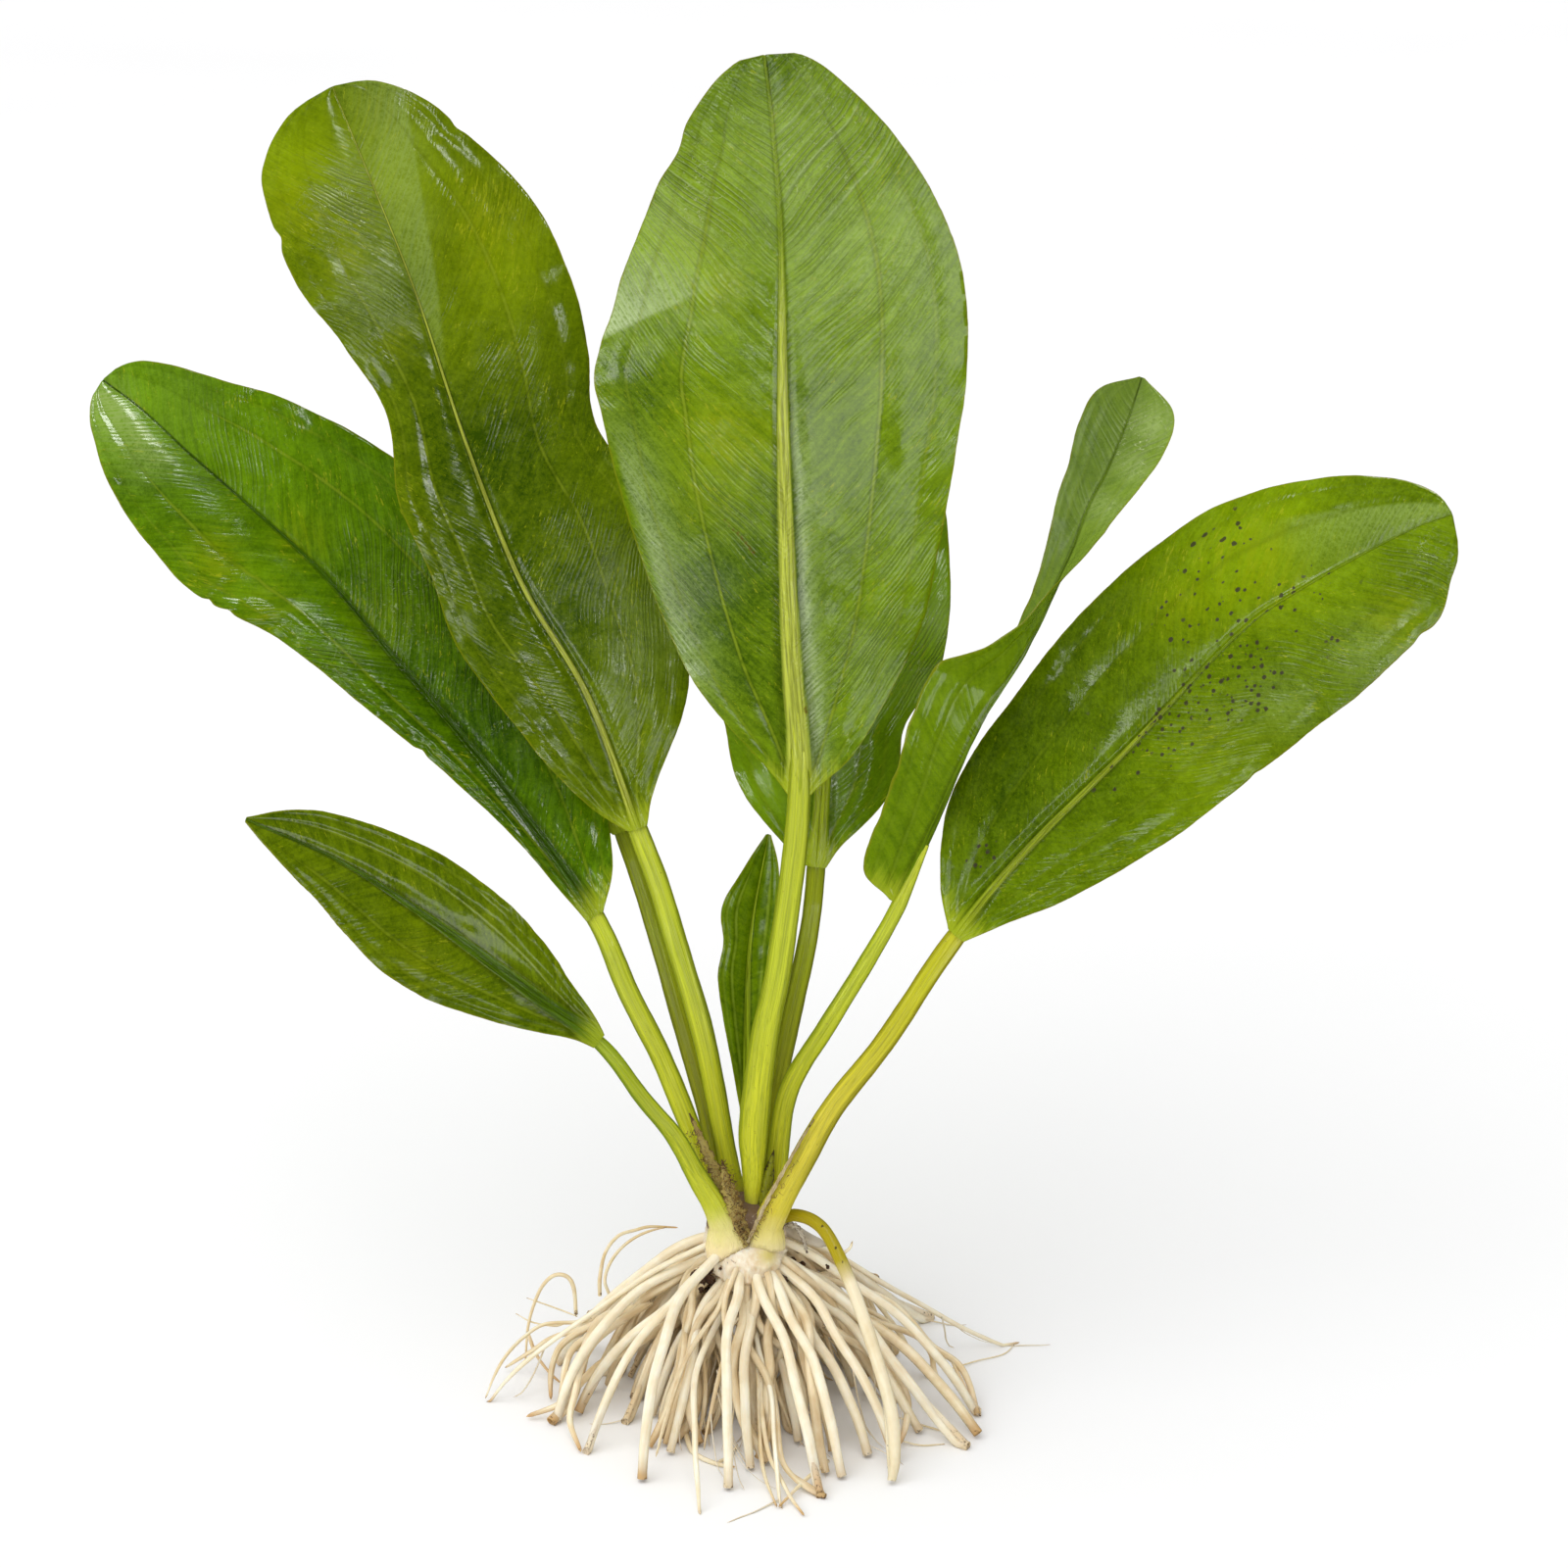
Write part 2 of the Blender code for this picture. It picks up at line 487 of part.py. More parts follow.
def main():
    for left_over in list(bpy.data.objects):
        bpy.data.objects.remove(left_over)
    make_crown()
    for name, leaf in LEAVES.items():
        make_leaf(name, leaf)
    for name, scrap in SCRAPS.items():
        make_scrap(name, scrap)
    for name, root in ROOTS.items():
        make_root(name, *root)
    for name, strand in STRANDS.items():
        make_strand(name, strand, "root")
    make_strand("old_shoot", OLD_SHOOT, "shoot")
    make_strand("withered_root", WITHERED, "scrap")


main()
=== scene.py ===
# Amazon sword plant, bare-rooted: its looks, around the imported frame.
import math
import bmesh
import bpy
import numpy as np
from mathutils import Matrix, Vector, noise


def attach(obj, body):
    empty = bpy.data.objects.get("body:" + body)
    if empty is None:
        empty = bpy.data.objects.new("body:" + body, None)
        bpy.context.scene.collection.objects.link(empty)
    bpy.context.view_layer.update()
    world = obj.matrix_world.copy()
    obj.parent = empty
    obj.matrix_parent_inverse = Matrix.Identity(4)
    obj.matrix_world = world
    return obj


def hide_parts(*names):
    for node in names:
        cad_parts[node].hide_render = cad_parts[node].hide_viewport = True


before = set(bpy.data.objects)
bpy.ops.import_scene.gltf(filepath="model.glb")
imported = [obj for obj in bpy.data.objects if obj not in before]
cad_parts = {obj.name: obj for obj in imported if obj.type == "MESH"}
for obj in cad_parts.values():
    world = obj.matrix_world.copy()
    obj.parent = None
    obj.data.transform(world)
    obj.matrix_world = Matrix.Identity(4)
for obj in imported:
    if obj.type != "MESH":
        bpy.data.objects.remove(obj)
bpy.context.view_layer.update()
mm = 0.001
print("frame loaded:", len(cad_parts), "nodes")


# curves

def unit(vector):
    return vector / np.linalg.norm(vector, axis=-1, keepdims=True)


curveSteps = 12


def smoothCurve(rows, steps=curveSteps):
    rows = np.array(rows, float)
    ends = np.vstack([2 * rows[0] - rows[1], rows, 2 * rows[-1] - rows[-2]])
    curve = []
    for a, b, c, d in zip(ends, ends[1:], ends[2:], ends[3:]):
        for t in np.arange(steps) / steps:
            bend = 2 * a - 5 * b + 4 * c - d + t * (3 * b - a - 3 * c + d)
            curve.append(b + 0.5 * t * (c - a + t * bend))
    return np.array(curve + [rows[-1]])


def runLengths(path):
    return np.concatenate([[0], np.cumsum(np.linalg.norm(np.diff(path[:, :3], axis=0), axis=1))])


def resample(path, distances):
    along = runLengths(path)
    return np.array([np.interp(distances, along, column) for column in path.T]).T


def directionsOf(path):
    return unit(np.gradient(path[:, :3], axis=0))


def ripple(values, seed, waves=((1, 1.0), (2.3, 0.5), (4.7, 0.25))):
    # a smooth uneven line of about -1 to 1, different for each seed
    total = np.zeros(len(values))
    for index, (rate, height) in enumerate(waves):
        total = total + height * np.sin(values * rate * 2 * math.pi + seed * 12.9898 + index * 4.1)
    return total / 1.5


def noiseAt(points, scale, seed=0.0):
    # Blender's own noise at many points, about -1 to 1
    offset = Vector((seed, seed * 1.7, -seed))
    return np.array([noise.noise(Vector(point) * scale + offset) for point in points])


# meshes

def addObject(name, data):
    made = bpy.data.objects.new(name, data)
    bpy.context.scene.collection.objects.link(made)
    return made


def meshPiece(name, shape, node, slot, finish, sharp, **vectors):
    # sharp: edges stay hard from this angle in degrees; vectors: what the material reads at each vertex
    bmesh.ops.recalc_face_normals(shape, faces=shape.faces)
    mesh = bpy.data.meshes.new(name)
    shape.to_mesh(mesh)
    shape.free()
    mesh.materials.append(finish)
    mesh.shade_smooth()
    mesh.set_sharp_from_angle(angle=math.radians(sharp))
    piece = addObject(name, mesh)
    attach(piece, "root")
    if node:
        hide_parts(node)
    for label, rows in vectors.items():
        values = np.ascontiguousarray(rows, np.float32)
        mesh.attributes.new(label, "FLOAT_VECTOR", "POINT").data.foreach_set("vector", values.ravel())


def vertexArray(shape):
    return np.array([vert.co[:] for vert in shape.verts])


def placeVerts(shape, points):
    for vert, point in zip(shape.verts, points):
        vert.co = point * mm


def doubleSheet(columns, rows):
    # a flat grid, 2 by 2, with a second face at a height of 1
    sheet = bmesh.new()
    bmesh.ops.create_grid(sheet, x_segments=columns, y_segments=rows, size=1)
    for part in bmesh.ops.extrude_face_region(sheet, geom=sheet.faces[:])["geom"]:
        if isinstance(part, bmesh.types.BMVert):
            part.co.z = 1
    return sheet, vertexArray(sheet)


def stick(sides, rings, cut=False):
    # a unit stick along z, in rings; a cut end is a shallow hollow
    shape = bmesh.new()
    bmesh.ops.create_cone(shape, cap_ends=True, segments=sides, radius1=1, radius2=1, depth=1)
    upright = [edge for edge in shape.edges if abs(edge.verts[0].co.z - edge.verts[1].co.z) > 0.5]
    bmesh.ops.subdivide_edges(shape, edges=upright, cuts=rings - 2, use_grid_fill=True)
    if cut:
        top = [face for face in shape.faces if all(vert.co.z > 0.499 for vert in face.verts)]
        bmesh.ops.inset_region(shape, faces=top, thickness=0.22)
        bmesh.ops.inset_region(shape, faces=top, thickness=0.2)
        for vert in top[0].verts:
            vert.co.z -= cut
    return shape


def bendStick(shape, path, widths, fronts, depth=1.0, radial=None, floor=False):
    # puts each vertex of a unit stick beside the path; returns its place in the straightened stick, in mm
    verts = vertexArray(shape)
    share = np.clip(verts[:, 2] + 0.5, 0, 1)
    along = runLengths(path)
    rows = resample(np.column_stack([path, widths, directionsOf(path), fronts]), share * along[-1])
    centre, width, direction, front = rows[:, :3], rows[:, 3], unit(rows[:, 4:7]), rows[:, 7:10]
    across = unit(np.cross(direction, front))
    front = np.cross(across, direction)
    angle = np.arctan2(verts[:, 1], verts[:, 0])
    reach = np.hypot(verts[:, 0], verts[:, 1]) * width / 2
    if radial is not None:
        reach = reach * radial(angle, share)
    cosine, sine = np.cos(angle), np.sin(angle)
    points = centre + across * (reach * cosine)[:, None] + front * (reach * sine * depth)[:, None]
    if floor:
        points[:, 2] = np.maximum(points[:, 2], 0.02)
    placeVerts(shape, points)
    return np.column_stack([reach * cosine, reach * sine, share * along[-1]]), share


# node helpers

class Value:
    # a shader value that adds, subtracts and multiplies like a number
    def __init__(self, tree, socket):
        self.tree, self.socket = tree, socket

    def __add__(self, other):
        return calc(self.tree, "ADD", self, other)

    def __sub__(self, other):
        return calc(self.tree, "SUBTRACT", self, other)

    def __rsub__(self, other):
        return calc(self.tree, "SUBTRACT", other, self)

    def __mul__(self, other):
        return calc(self.tree, "MULTIPLY", self, other)

    def __abs__(self):
        return calc(self.tree, "ABSOLUTE", self)

    __radd__, __rmul__ = __add__, __mul__


def fill(tree, value, socket):
    # links the output of a node to the socket, or sets it to a fixed value
    value = getattr(value, "socket", value)
    if isinstance(value, bpy.types.NodeSocket):
        tree.links.new(value, socket)
    else:
        socket.default_value = value


def addNode(tree, kind, inputs=None, **settings):
    made = tree.nodes.new("ShaderNode" + kind)
    for key, value in settings.items():
        setattr(made, key, value)
    for key, value in (inputs or {}).items():
        fill(tree, value, made.inputs[key])
    return made


def calc(tree, operation, *values, clamp=False):
    made = addNode(tree, "Math", dict(enumerate(values)), operation=operation, use_clamp=clamp)
    return Value(tree, made.outputs[0])


def channels(tree, value, kind="SeparateXYZ"):
    return [Value(tree, socket) for socket in addNode(tree, kind, {0: value}).outputs]


def fade(tree, value, low, high, start=0.0, end=1.0):
    # start where value is low, end where it is high, smooth between
    made = addNode(tree, "MapRange", {"Value": value, "From Min": low, "From Max": high, "To Min": start,
                                      "To Max": end},
                   interpolation_type="SMOOTHSTEP")
    return Value(tree, made.outputs[0])


def blendColour(tree, factor, first, second, kind="MIX"):
    inputs = {0: factor, 6: first, 7: second}
    return addNode(tree, "Mix", inputs, data_type="RGBA", blend_type=kind).outputs[2]


def darken(tree, colour, level):
    grey = addNode(tree, "CombineColor", {0: level, 1: level, 2: level}).outputs[0]
    return blendColour(tree, 1.0, colour, grey, "MULTIPLY")


def noiseNode(tree, vector, scale, detail=2.0, roughness=0.5, distortion=0.0):
    made = addNode(tree, "TexNoise", {"Vector": vector, "Scale": scale, "Detail": detail,
                                      "Roughness": roughness,
                                      "Distortion": distortion})
    return Value(tree, made.outputs["Fac"])


def vectorOf(tree, x=0.0, y=0.0, z=0.0):
    return addNode(tree, "CombineXYZ", {"X": x, "Y": y, "Z": z}).outputs[0]


def newGroup(name, inputs, outputs):
    tree = bpy.data.node_groups.new(name, "ShaderNodeTree")
    kinds = {3: "NodeSocketVector", 4: "NodeSocketColor"}
    for label, value in inputs.items():
        kind = kinds[len(value)] if isinstance(value, tuple) else "NodeSocketFloat"
        socket = tree.interface.new_socket(name=label, in_out="INPUT", socket_type=kind)
        socket.default_value = value
    for label, kind in outputs.items():
        tree.interface.new_socket(name=label, in_out="OUTPUT", socket_type="NodeSocket" + kind)
    given = {socket.name: Value(tree, socket) for socket in tree.nodes.new("NodeGroupInput").outputs}
    return tree, given, tree.nodes.new("NodeGroupOutput").inputs


def newMaterial(name, **fixed):
    made = bpy.data.materials.new(name)
    made.use_nodes = True
    shader = made.node_tree.nodes["Principled BSDF"]
    for label, value in fixed.items():
        shader.inputs[label.replace("_", " ")].default_value = value
    return made, made.node_tree, shader


def attributeNode(tree, name):
    return addNode(tree, "Attribute", attribute_name=name).outputs["Vector"]


def wearPattern(tree, shader, pattern, inputs, strength, distance):
    # the pattern group's colour, roughness and relief on a material; distance in metres
    group = addNode(tree, "Group", inputs, node_tree=pattern).outputs
    bump = addNode(tree, "Bump", {"Strength": strength, "Distance": distance, "Height": group["Height"]})
    fill(tree, group["Color"], shader.inputs["Base Color"])
    fill(tree, group["Roughness"], shader.inputs["Roughness"])
    fill(tree, bump.outputs[0], shader.inputs["Normal"])


def rgb(red, green, blue):
    # a colour as a paint program shows it, 0 to 255
    shares = [((c / 255 + 0.055) / 1.055)**2.4 if c > 10 else c / 3294 for c in (red, green, blue)]
    return (*shares, 1.0)


# blades

bladeSettings = {
    "columns": 92,  # faces across
    "rows": 236,  # faces along
    "samples": 240,  # steps along the midrib where the sheet's direction is taken
    "thickness": 0.34,  # mm, half way to the edge
    "edgeThickness": 0.2,
    "veins": (0.63, 0.87),  # side veins, as places across the grid
    "crowd": 0.35,  # how much the grid bunches towards the midrib
    "spread": 0.9,  # and how much more near the stalk
    "veinDepth": 0.08,
    # the midrib: share of its length, half width
    "ribHalves": ((0, 2.0), (0.1, 1.5), (0.45, 0.92), (0.62, 0.6), (0.75, 0.36), (1, 0.18)),
    "creaseSoftness": 0.8,
    "quilt": 0.24,  # swelling between side veins
    "undulation": 0.36,
    "wrinkle": 0.08,  # low ridges along the cross veins
    "gutter": 0.35,  # hollow beside the midrib
    "raggedness": 0.1,  # of the edge
}


def bladeOutline(leaf, v):
    rows = smoothCurve(leaf["outline"])
    shares = np.maximum.accumulate(rows[:, 0])
    left = np.interp(v, shares, rows[:, 1])
    right = np.interp(v, shares, rows[:, 2])
    return left, right


def bladeSpine(leaf):
    points = [row[:3] for row in leaf["stalk"]] + leaf["rib"]
    whole = smoothCurve(points)
    return whole, (len(leaf["stalk"]) - 1) * curveSteps


def bladeFrames(path, leaf):
    shares, angles = zip(*leaf.get("turn", [(0, 0), (1, 0)]))
    angle = np.radians(np.interp(np.linspace(0, 1, len(path)), shares, angles))[:, None]
    direction = directionsOf(path)
    across = unit(np.cross(direction, np.array(leaf["face"], float)))
    out = np.cross(across, direction)
    return across * np.cos(angle) + out * np.sin(angle), out * np.cos(angle) - across * np.sin(angle)


def makeBlade(name, leaf):
    s = bladeSettings
    whole, split = bladeSpine(leaf)
    rib = whole[split:]
    total = runLengths(rib)[-1]
    dense = resample(rib, np.linspace(0, total, s["samples"] + 1))
    across, out = bladeFrames(dense, leaf)
    sheet, verts = doubleSheet(s["columns"], s["rows"])
    side = np.where(verts[:, 0] < 0, -1.0, 1.0)
    v = np.clip((verts[:, 1] + 1) / 2, 0, 1)
    upper = verts[:, 2]
    u = np.abs(verts[:, 0])
    power = 1 + s["crowd"] + s["spread"] * np.clip(1 - v / 0.5, 0, 1)**2
    t = u**power
    left, right = bladeOutline(leaf, v)
    for nickSide, nickShare, depth, length in leaf.get("nicks", ()):
        bite = depth * np.exp(-((v - nickShare) * total / length)**2)
        left = left - bite * (nickSide < 0)
        right = right - bite * (nickSide > 0)
    width = np.where(side < 0, left, right)
    ragged = ripple(v * total / 22, total + side, ((1, 1.0), (1.7, 0.6)))
    ragged = ragged + 0.25 * ripple(v * total / 5, total - side)
    width = np.maximum(width + s["raggedness"] * ragged * np.clip(width / 6, 0, 1), 0.3)
    foldAngles = np.radians(np.array(leaf["fold"]))[(side > 0).astype(int)]
    rollAngles = np.radians(np.array(leaf["roll"]))[(side > 0).astype(int)]
    height, count = leaf["wave"]
    wave = height * np.sin(2 * math.pi * count * v + side) * t**2 * np.minimum(1, width / 12)
    rise = width * (np.tan(foldAngles) * t - 0.5 * np.tan(rollAngles) * t**2) + wave
    flat = np.column_stack([side * width * t, v * total, np.zeros(len(v))])

    def near(share, across, size):
        # 1 at a spot on the blade, less with the distance to it
        return np.exp(-(np.hypot((v - share) * total, flat[:, 0] - across) / size)**2)

    def strongest(label):
        return np.max([0 * v, *(strength * near(*spot) for *spot, strength in leaf.get(label, ()))], axis=0)

    def fromLine(startShare, startAcross, endShare, endAcross):
        # for each point: how far it is to the right of the line, its share along it, and its distance from it
        start = np.array((startAcross, startShare * total))
        run = np.array((endAcross, endShare * total)) - start
        length = np.linalg.norm(run)
        gap = flat[:, :2] - start
        beside = (gap[:, 0] * run[1] - gap[:, 1] * run[0]) / length
        along = gap @ run / length**2
        return beside, along, np.hypot(beside, (along - np.clip(along, 0, 1)) * length)

    # fine relief, in mm out of the face
    body = np.clip(width / 8, 0, 1) * np.clip((1 - t) * 6, 0.35, 1)
    relief = s["undulation"] * noiseAt(flat, 0.07, total) * np.clip(width / 10, 0, 1)
    relief += 0.3 * s["undulation"] * noiseAt(flat, 0.22, total) * body
    frill = leaf.get("frill", 0.5) * ripple(v * total / 26, total + side * 2) * t**5
    relief += frill * np.clip(width / 10, 0, 1)
    for *spot, rises in leaf.get("dents", ()):
        relief += rises * near(*spot)
    for *line, tilt, reach in leaf.get("creases", ()):
        # the sheet on the right of the line is tilted, and levels out again
        beside, along = fromLine(*line)[:2]
        ramp = s["creaseSoftness"] * np.log1p(np.exp(beside / s["creaseSoftness"]))
        ramp = reach * (1 - np.exp(-ramp / reach))
        relief += math.tan(math.radians(tilt)) * ramp / (1 + np.exp((np.abs(along - 0.5) - 0.75) * 9))
    phase = v * total - leaf["look"]["Slant"] * width * t - leaf["look"]["Bend"] * (width * t)**2
    ridges = np.column_stack([phase * 0.3, width * t * 0.05, side * 9 + total])
    relief += s["wrinkle"] * leaf.get("wrinkle", 1) * noiseAt(ridges, 1.0) * body
    stops = np.array([0.0, *s["veins"], 1.0])
    band = np.clip(np.searchsorted(stops, u, side="right") - 1, 0, len(stops) - 2)
    within = (u - stops[band]) / (stops[band + 1] - stops[band])
    relief -= 0.5 * s["quilt"] * np.cos(2 * math.pi * within) * body * leaf.get("quilt", 1)
    veinGap = np.min([np.abs(u - vein) for vein in s["veins"]], axis=0)
    veinGap = veinGap * width * power * np.maximum(u, 0.2)**(power - 1)
    veinGap = veinGap + np.clip(v - 0.8, 0, 1) * 3  # side veins fade out before the tip
    veinDepth = s["veinDepth"] * leaf.get("veinDepth", 1) * np.where(u > 0.75, 0.4, 1)
    relief -= veinDepth * np.exp(-(veinGap / 0.5)**2) * body
    ribHalf = np.interp(v, *np.array(s["ribHalves"]).T) * leaf.get("ribWidth", 1)
    ribShape = np.exp(-(width * t / ribHalf)**2)
    strands = np.cos(side * width * t * 2 * math.pi / 1.1 + 2.5 * ripple(v * total / 50, total))
    strands = strands + 0.4 * ripple(v * total / 9, side * 3 + total)
    relief += leaf.get("ribStrands", 0.03) * strands * ribShape
    relief -= s["gutter"] * np.exp(-((width * t - 2.2 * ribHalf) / (1.3 * ribHalf))**2) * np.clip(1 - v, 0, 1)
    keel = np.interp(v, [0, 0.15, 0.6, 1], [1.1, 0.7, 0.35, 0.1])
    thickness = s["edgeThickness"] + (s["thickness"] - s["edgeThickness"]) * np.clip((1 - t) * 5, 0, 1)
    lift = np.where(upper > 0.5, 0.5 * thickness + leaf["ribFront"] * keel * ribShape,
                    -0.5 * thickness - leaf["ribBack"] * keel * ribShape)
    place = v * s["samples"]
    low = np.clip(place.astype(int), 0, s["samples"] - 1)
    part = (place - low)[:, None]
    centre = dense[low] * (1 - part) + dense[low + 1] * part
    sideways = unit(across[low] * (1 - part) + across[low + 1] * part)
    outwards = unit(out[low] * (1 - part) + out[low + 1] * part)
    points = centre + sideways * (side * width * t)[:, None] + outwards * (rise + relief + lift)[:, None]
    placeVerts(sheet, points)
    # glow patches shift the green towards fresh or deep: partly the leaf's own tone, partly painted light
    # where it is lit through or sheened
    glow = 0 * v
    for *spot, strength in leaf.get("toneAndLightPatches", ()):
        glow += strength * near(*spot)
    # pale spots are painted sheen; yellowed spots are the leaf's own colour; embossed spots raise the relief
    # and get painted highlights
    tints = [strongest(label) for label in ("pale", "yellowed", "embossed")]
    for *line, levels, reach in leaf.get("paintedSheenLines", ()):
        # painted sheen: lighter on the right of the line, with a crisp edge along it, standing in for a
        # highlight
        beside, along = fromLine(*line)[:2]
        level = np.interp(along, (0, 1), levels) * np.exp(-(beside / np.where(beside > 0, reach, 0.4))**2)
        level = level / (1 + np.exp((np.abs(along - 0.5) - 0.55) * 14))
        tints[0] = np.maximum(tints[0], level * (side == np.sign(line[1])) * (upper > 0.5))
    scar = 0 * v
    for *line, half in leaf.get("scars", ()):
        scar = np.maximum(scar, np.exp(-(fromLine(*line)[2] / half)**2))
    meshPiece(name + "_fine", sheet, name, "leaf", leafFinish(name, leaf["look"]), 80,
              place=np.column_stack([flat[:, 0], v * total, u]),
              marks=np.column_stack([veinGap, width * t / ribHalf, width * (1 - t)]),
              tone=np.column_stack([glow, strongest("grime"), 1 - upper]),
              tint=np.column_stack(tints), scar=np.column_stack([scar, scar, scar]))


def bladePatternGroup():
    tree, given, out = newGroup("bladePattern", {
        "Place": (0.0, 0.0, 0.0), "Marks": (0.0, 0.0, 0.0), "Tone": (0.0, 0.0, 0.0), "Tint": (0.0, 0.0, 0.0),
        "Deep": (0.05, 0.13, 0.0, 1), "Fresh": (0.2, 0.4, 0.0, 1), "Vein": (0.35, 0.5, 0.12, 1),
        "Rib": (0.4, 0.55, 0.1, 1), "Pale": (0.4, 0.5, 0.25, 1), "Slant": 0.9, "Bend": 0.012, "Lines": 0.35,
        "Streaks": 0.22, "Bloom": 0.0, "Flecks": 0.5, "Scar": 0.0, "Vein Show": 0.6, "Rib Reach": 90.0,
        "Relief": 1.0,
    }, {"Color": "Color", "Roughness": "Float", "Height": "Float"})
    place = channels(tree, given["Place"])
    marks = channels(tree, given["Marks"])
    tone = channels(tree, given["Tone"])
    tint = channels(tree, given["Tint"])
    sideways = abs(place[0])
    halves = calc(tree, "SIGN", place[0]) * 9.0
    flat = vectorOf(tree, place[0], place[1], halves)
    # cross veins leave the midrib at a slant and bend towards the tip
    phase = place[1] - sideways * (sideways * given["Bend"] + given["Slant"])
    phase = phase + noiseNode(tree, flat, 0.045, 1.0, 0.5) * 9.0
    drawn = vectorOf(tree, phase, sideways * 0.09, halves)
    jitter = noiseNode(tree, drawn, 0.22, 1.0, 0.5)
    strands = jitter * 2.6 + phase * 0.78
    signed = calc(tree, "FRACT", strands) - 0.5
    gap = abs(signed)
    crest = fade(tree, abs(signed - 0.22), 0.0, 0.16, 1.0, 0.0)
    broken = fade(tree, noiseNode(tree, drawn, 0.5, 2.0, 0.6), 0.34, 0.58, 0.25, 1.0)
    clear = fade(tree, noiseNode(tree, flat, 0.06, 2.0, 0.5), 0.38, 0.62, 0.12, 0.8)
    lineLevel = broken * calc(tree, "ADD", clear, tint[2], clamp=True)
    lines = fade(tree, gap, 0.02, 0.2, 1.0, 0.0) * lineLevel
    strips = fade(tree, gap, 0.1, 0.5) * lineLevel
    hair = abs(noiseNode(tree, drawn, 2.1, 1.0, 0.5) - 0.5)
    fine = fade(tree, hair, 0.0, 0.09, 1.0, 0.0)
    # streaks along the cross veins, patches from a few mm to a few cm, and a fine grain
    brushed = vectorOf(tree, phase * 0.6, sideways * 0.14, halves)
    streaks = fade(tree, noiseNode(tree, brushed, 1.0, 4.0, 0.65), 0.36, 0.64)
    patches = fade(tree, noiseNode(tree, flat, 0.05, 3.0, 0.6), 0.36, 0.64)
    mottle = fade(tree, noiseNode(tree, flat, 0.3, 4.0, 0.7), 0.36, 0.64)
    grain = noiseNode(tree, flat, 1.6, 4.0, 0.8)
    mixed = (streaks - 0.5) * given["Streaks"] + (patches + mottle) * 0.14 + (grain - 0.21)
    # the glow patches move the mix, partly the leaf's own tone and partly painted light
    mixed = calc(tree, "ADD", mixed, tone[0], clamp=True)
    colour = blendColour(tree, mixed, given["Deep"], given["Fresh"])
    # the cross-vein lines are darker, their own colour; where the sheet is embossed they are darker still,
    # painted shade in the grooves
    lined = fine * 0.3 + lines
    depth = given["Lines"] * (tint[2] * 1.4 + 1.0)
    colour = darken(tree, colour, 1.0 - lined * depth)
    # yellow flecks, drawn out a little along the cross veins, in loose clusters
    flecked = vectorOf(tree, phase * 0.9, sideways * 0.5, halves)
    fleckNoise = noiseNode(tree, flecked, 1.5, 3.0, 0.75)
    cluster = fade(tree, noiseNode(tree, flat, 0.09, 2.0, 0.5), 0.4, 0.7, -0.03, 0.05)
    fleckLevel = fleckNoise + cluster + tint[1] * 0.09
    fleck = fade(tree, fleckLevel, 0.62, 0.7) * given["Flecks"]
    colour = blendColour(tree, fleck, colour, rgb(160, 168, 26))
    yellow = tint[1] * fade(tree, streaks, 0.0, 1.0, 0.2, 0.8)
    colour = blendColour(tree, yellow, colour, rgb(140, 150, 4))
    # the pale Bloom on some leaves and on the back of all, plus painted sheen from the pale spots and sheen
    # lines, standing in for highlights
    bloomNoise = fade(tree, noiseNode(tree, brushed, 1.3, 4.0, 0.7), 0.3, 0.7, 0.2, 1.0)
    bloomAndSheen = bloomNoise * given["Bloom"]
    paintedSheen = tint[0] * fade(tree, grain + lines, 0.35, 0.65, 0.3, 1.0)
    bloomAndSheen = calc(tree, "ADD", bloomAndSheen + paintedSheen, tone[2] * 0.2, clamp=True)
    colour = blendColour(tree, bloomAndSheen, colour, given["Pale"])
    # where the sheet is embossed, a painted highlight along one side of each line and painted glints on the
    # small wrinkles
    crestHighlight = crest * lineLevel * (tint[2] * 0.5)
    colour = blendColour(tree, crestHighlight, colour, given["Pale"])
    curl = abs(noiseNode(tree, flat, 0.8, 1.0, 0.5, 1.2) - 0.5)
    curlPlaces = fade(tree, noiseNode(tree, flat, 0.5, 2.0, 0.6), 0.5, 0.6)
    curls = fade(tree, curl, 0.0, 0.035, 1.0, 0.0) * curlPlaces
    paintedGlint = curls * (tint[2] * tint[2] * 0.8)
    colour = blendColour(tree, paintedGlint, colour, rgb(206, 220, 160))
    # side veins, the midrib and the thin yellow margin
    veinLine = fade(tree, marks[0], 0.08, 0.4, 1.0, 0.0)
    veinBreaks = fade(tree, noiseNode(tree, flat, 0.3, 2.0, 0.6), 0.3, 0.55, 0.35, 1.0)
    veinShow = given["Vein Show"] * fade(tree, place[2], 0.74, 0.76, 1.0, 0.45)
    veinMask = veinLine * veinBreaks * veinShow
    veinSide = fade(tree, marks[0], 0.35, 0.8, 0.35, 0.0)  # a shaded line along each side vein
    colour = darken(tree, colour, 1.0 - veinSide * veinShow)
    colour = blendColour(tree, veinMask, colour, given["Vein"])
    stripes = noiseNode(tree, vectorOf(tree, place[0], place[1] * 0.035, 0.0), 2.2, 3.0, 0.6)
    ribEdge = (stripes - 0.5) * 0.7 + marks[1]
    ribMask = fade(tree, ribEdge, 0.7, 1.15, 1.0, 0.0)
    ribFade = fade(tree, place[1], given["Rib Reach"], given["Rib Reach"] * 0.65, 0.15, 1.0)
    ribTone = fade(tree, stripes, 0.38, 0.62, 0.55, 1.1)
    colour = blendColour(tree, ribMask * ribFade, colour, darken(tree, given["Rib"], ribTone))
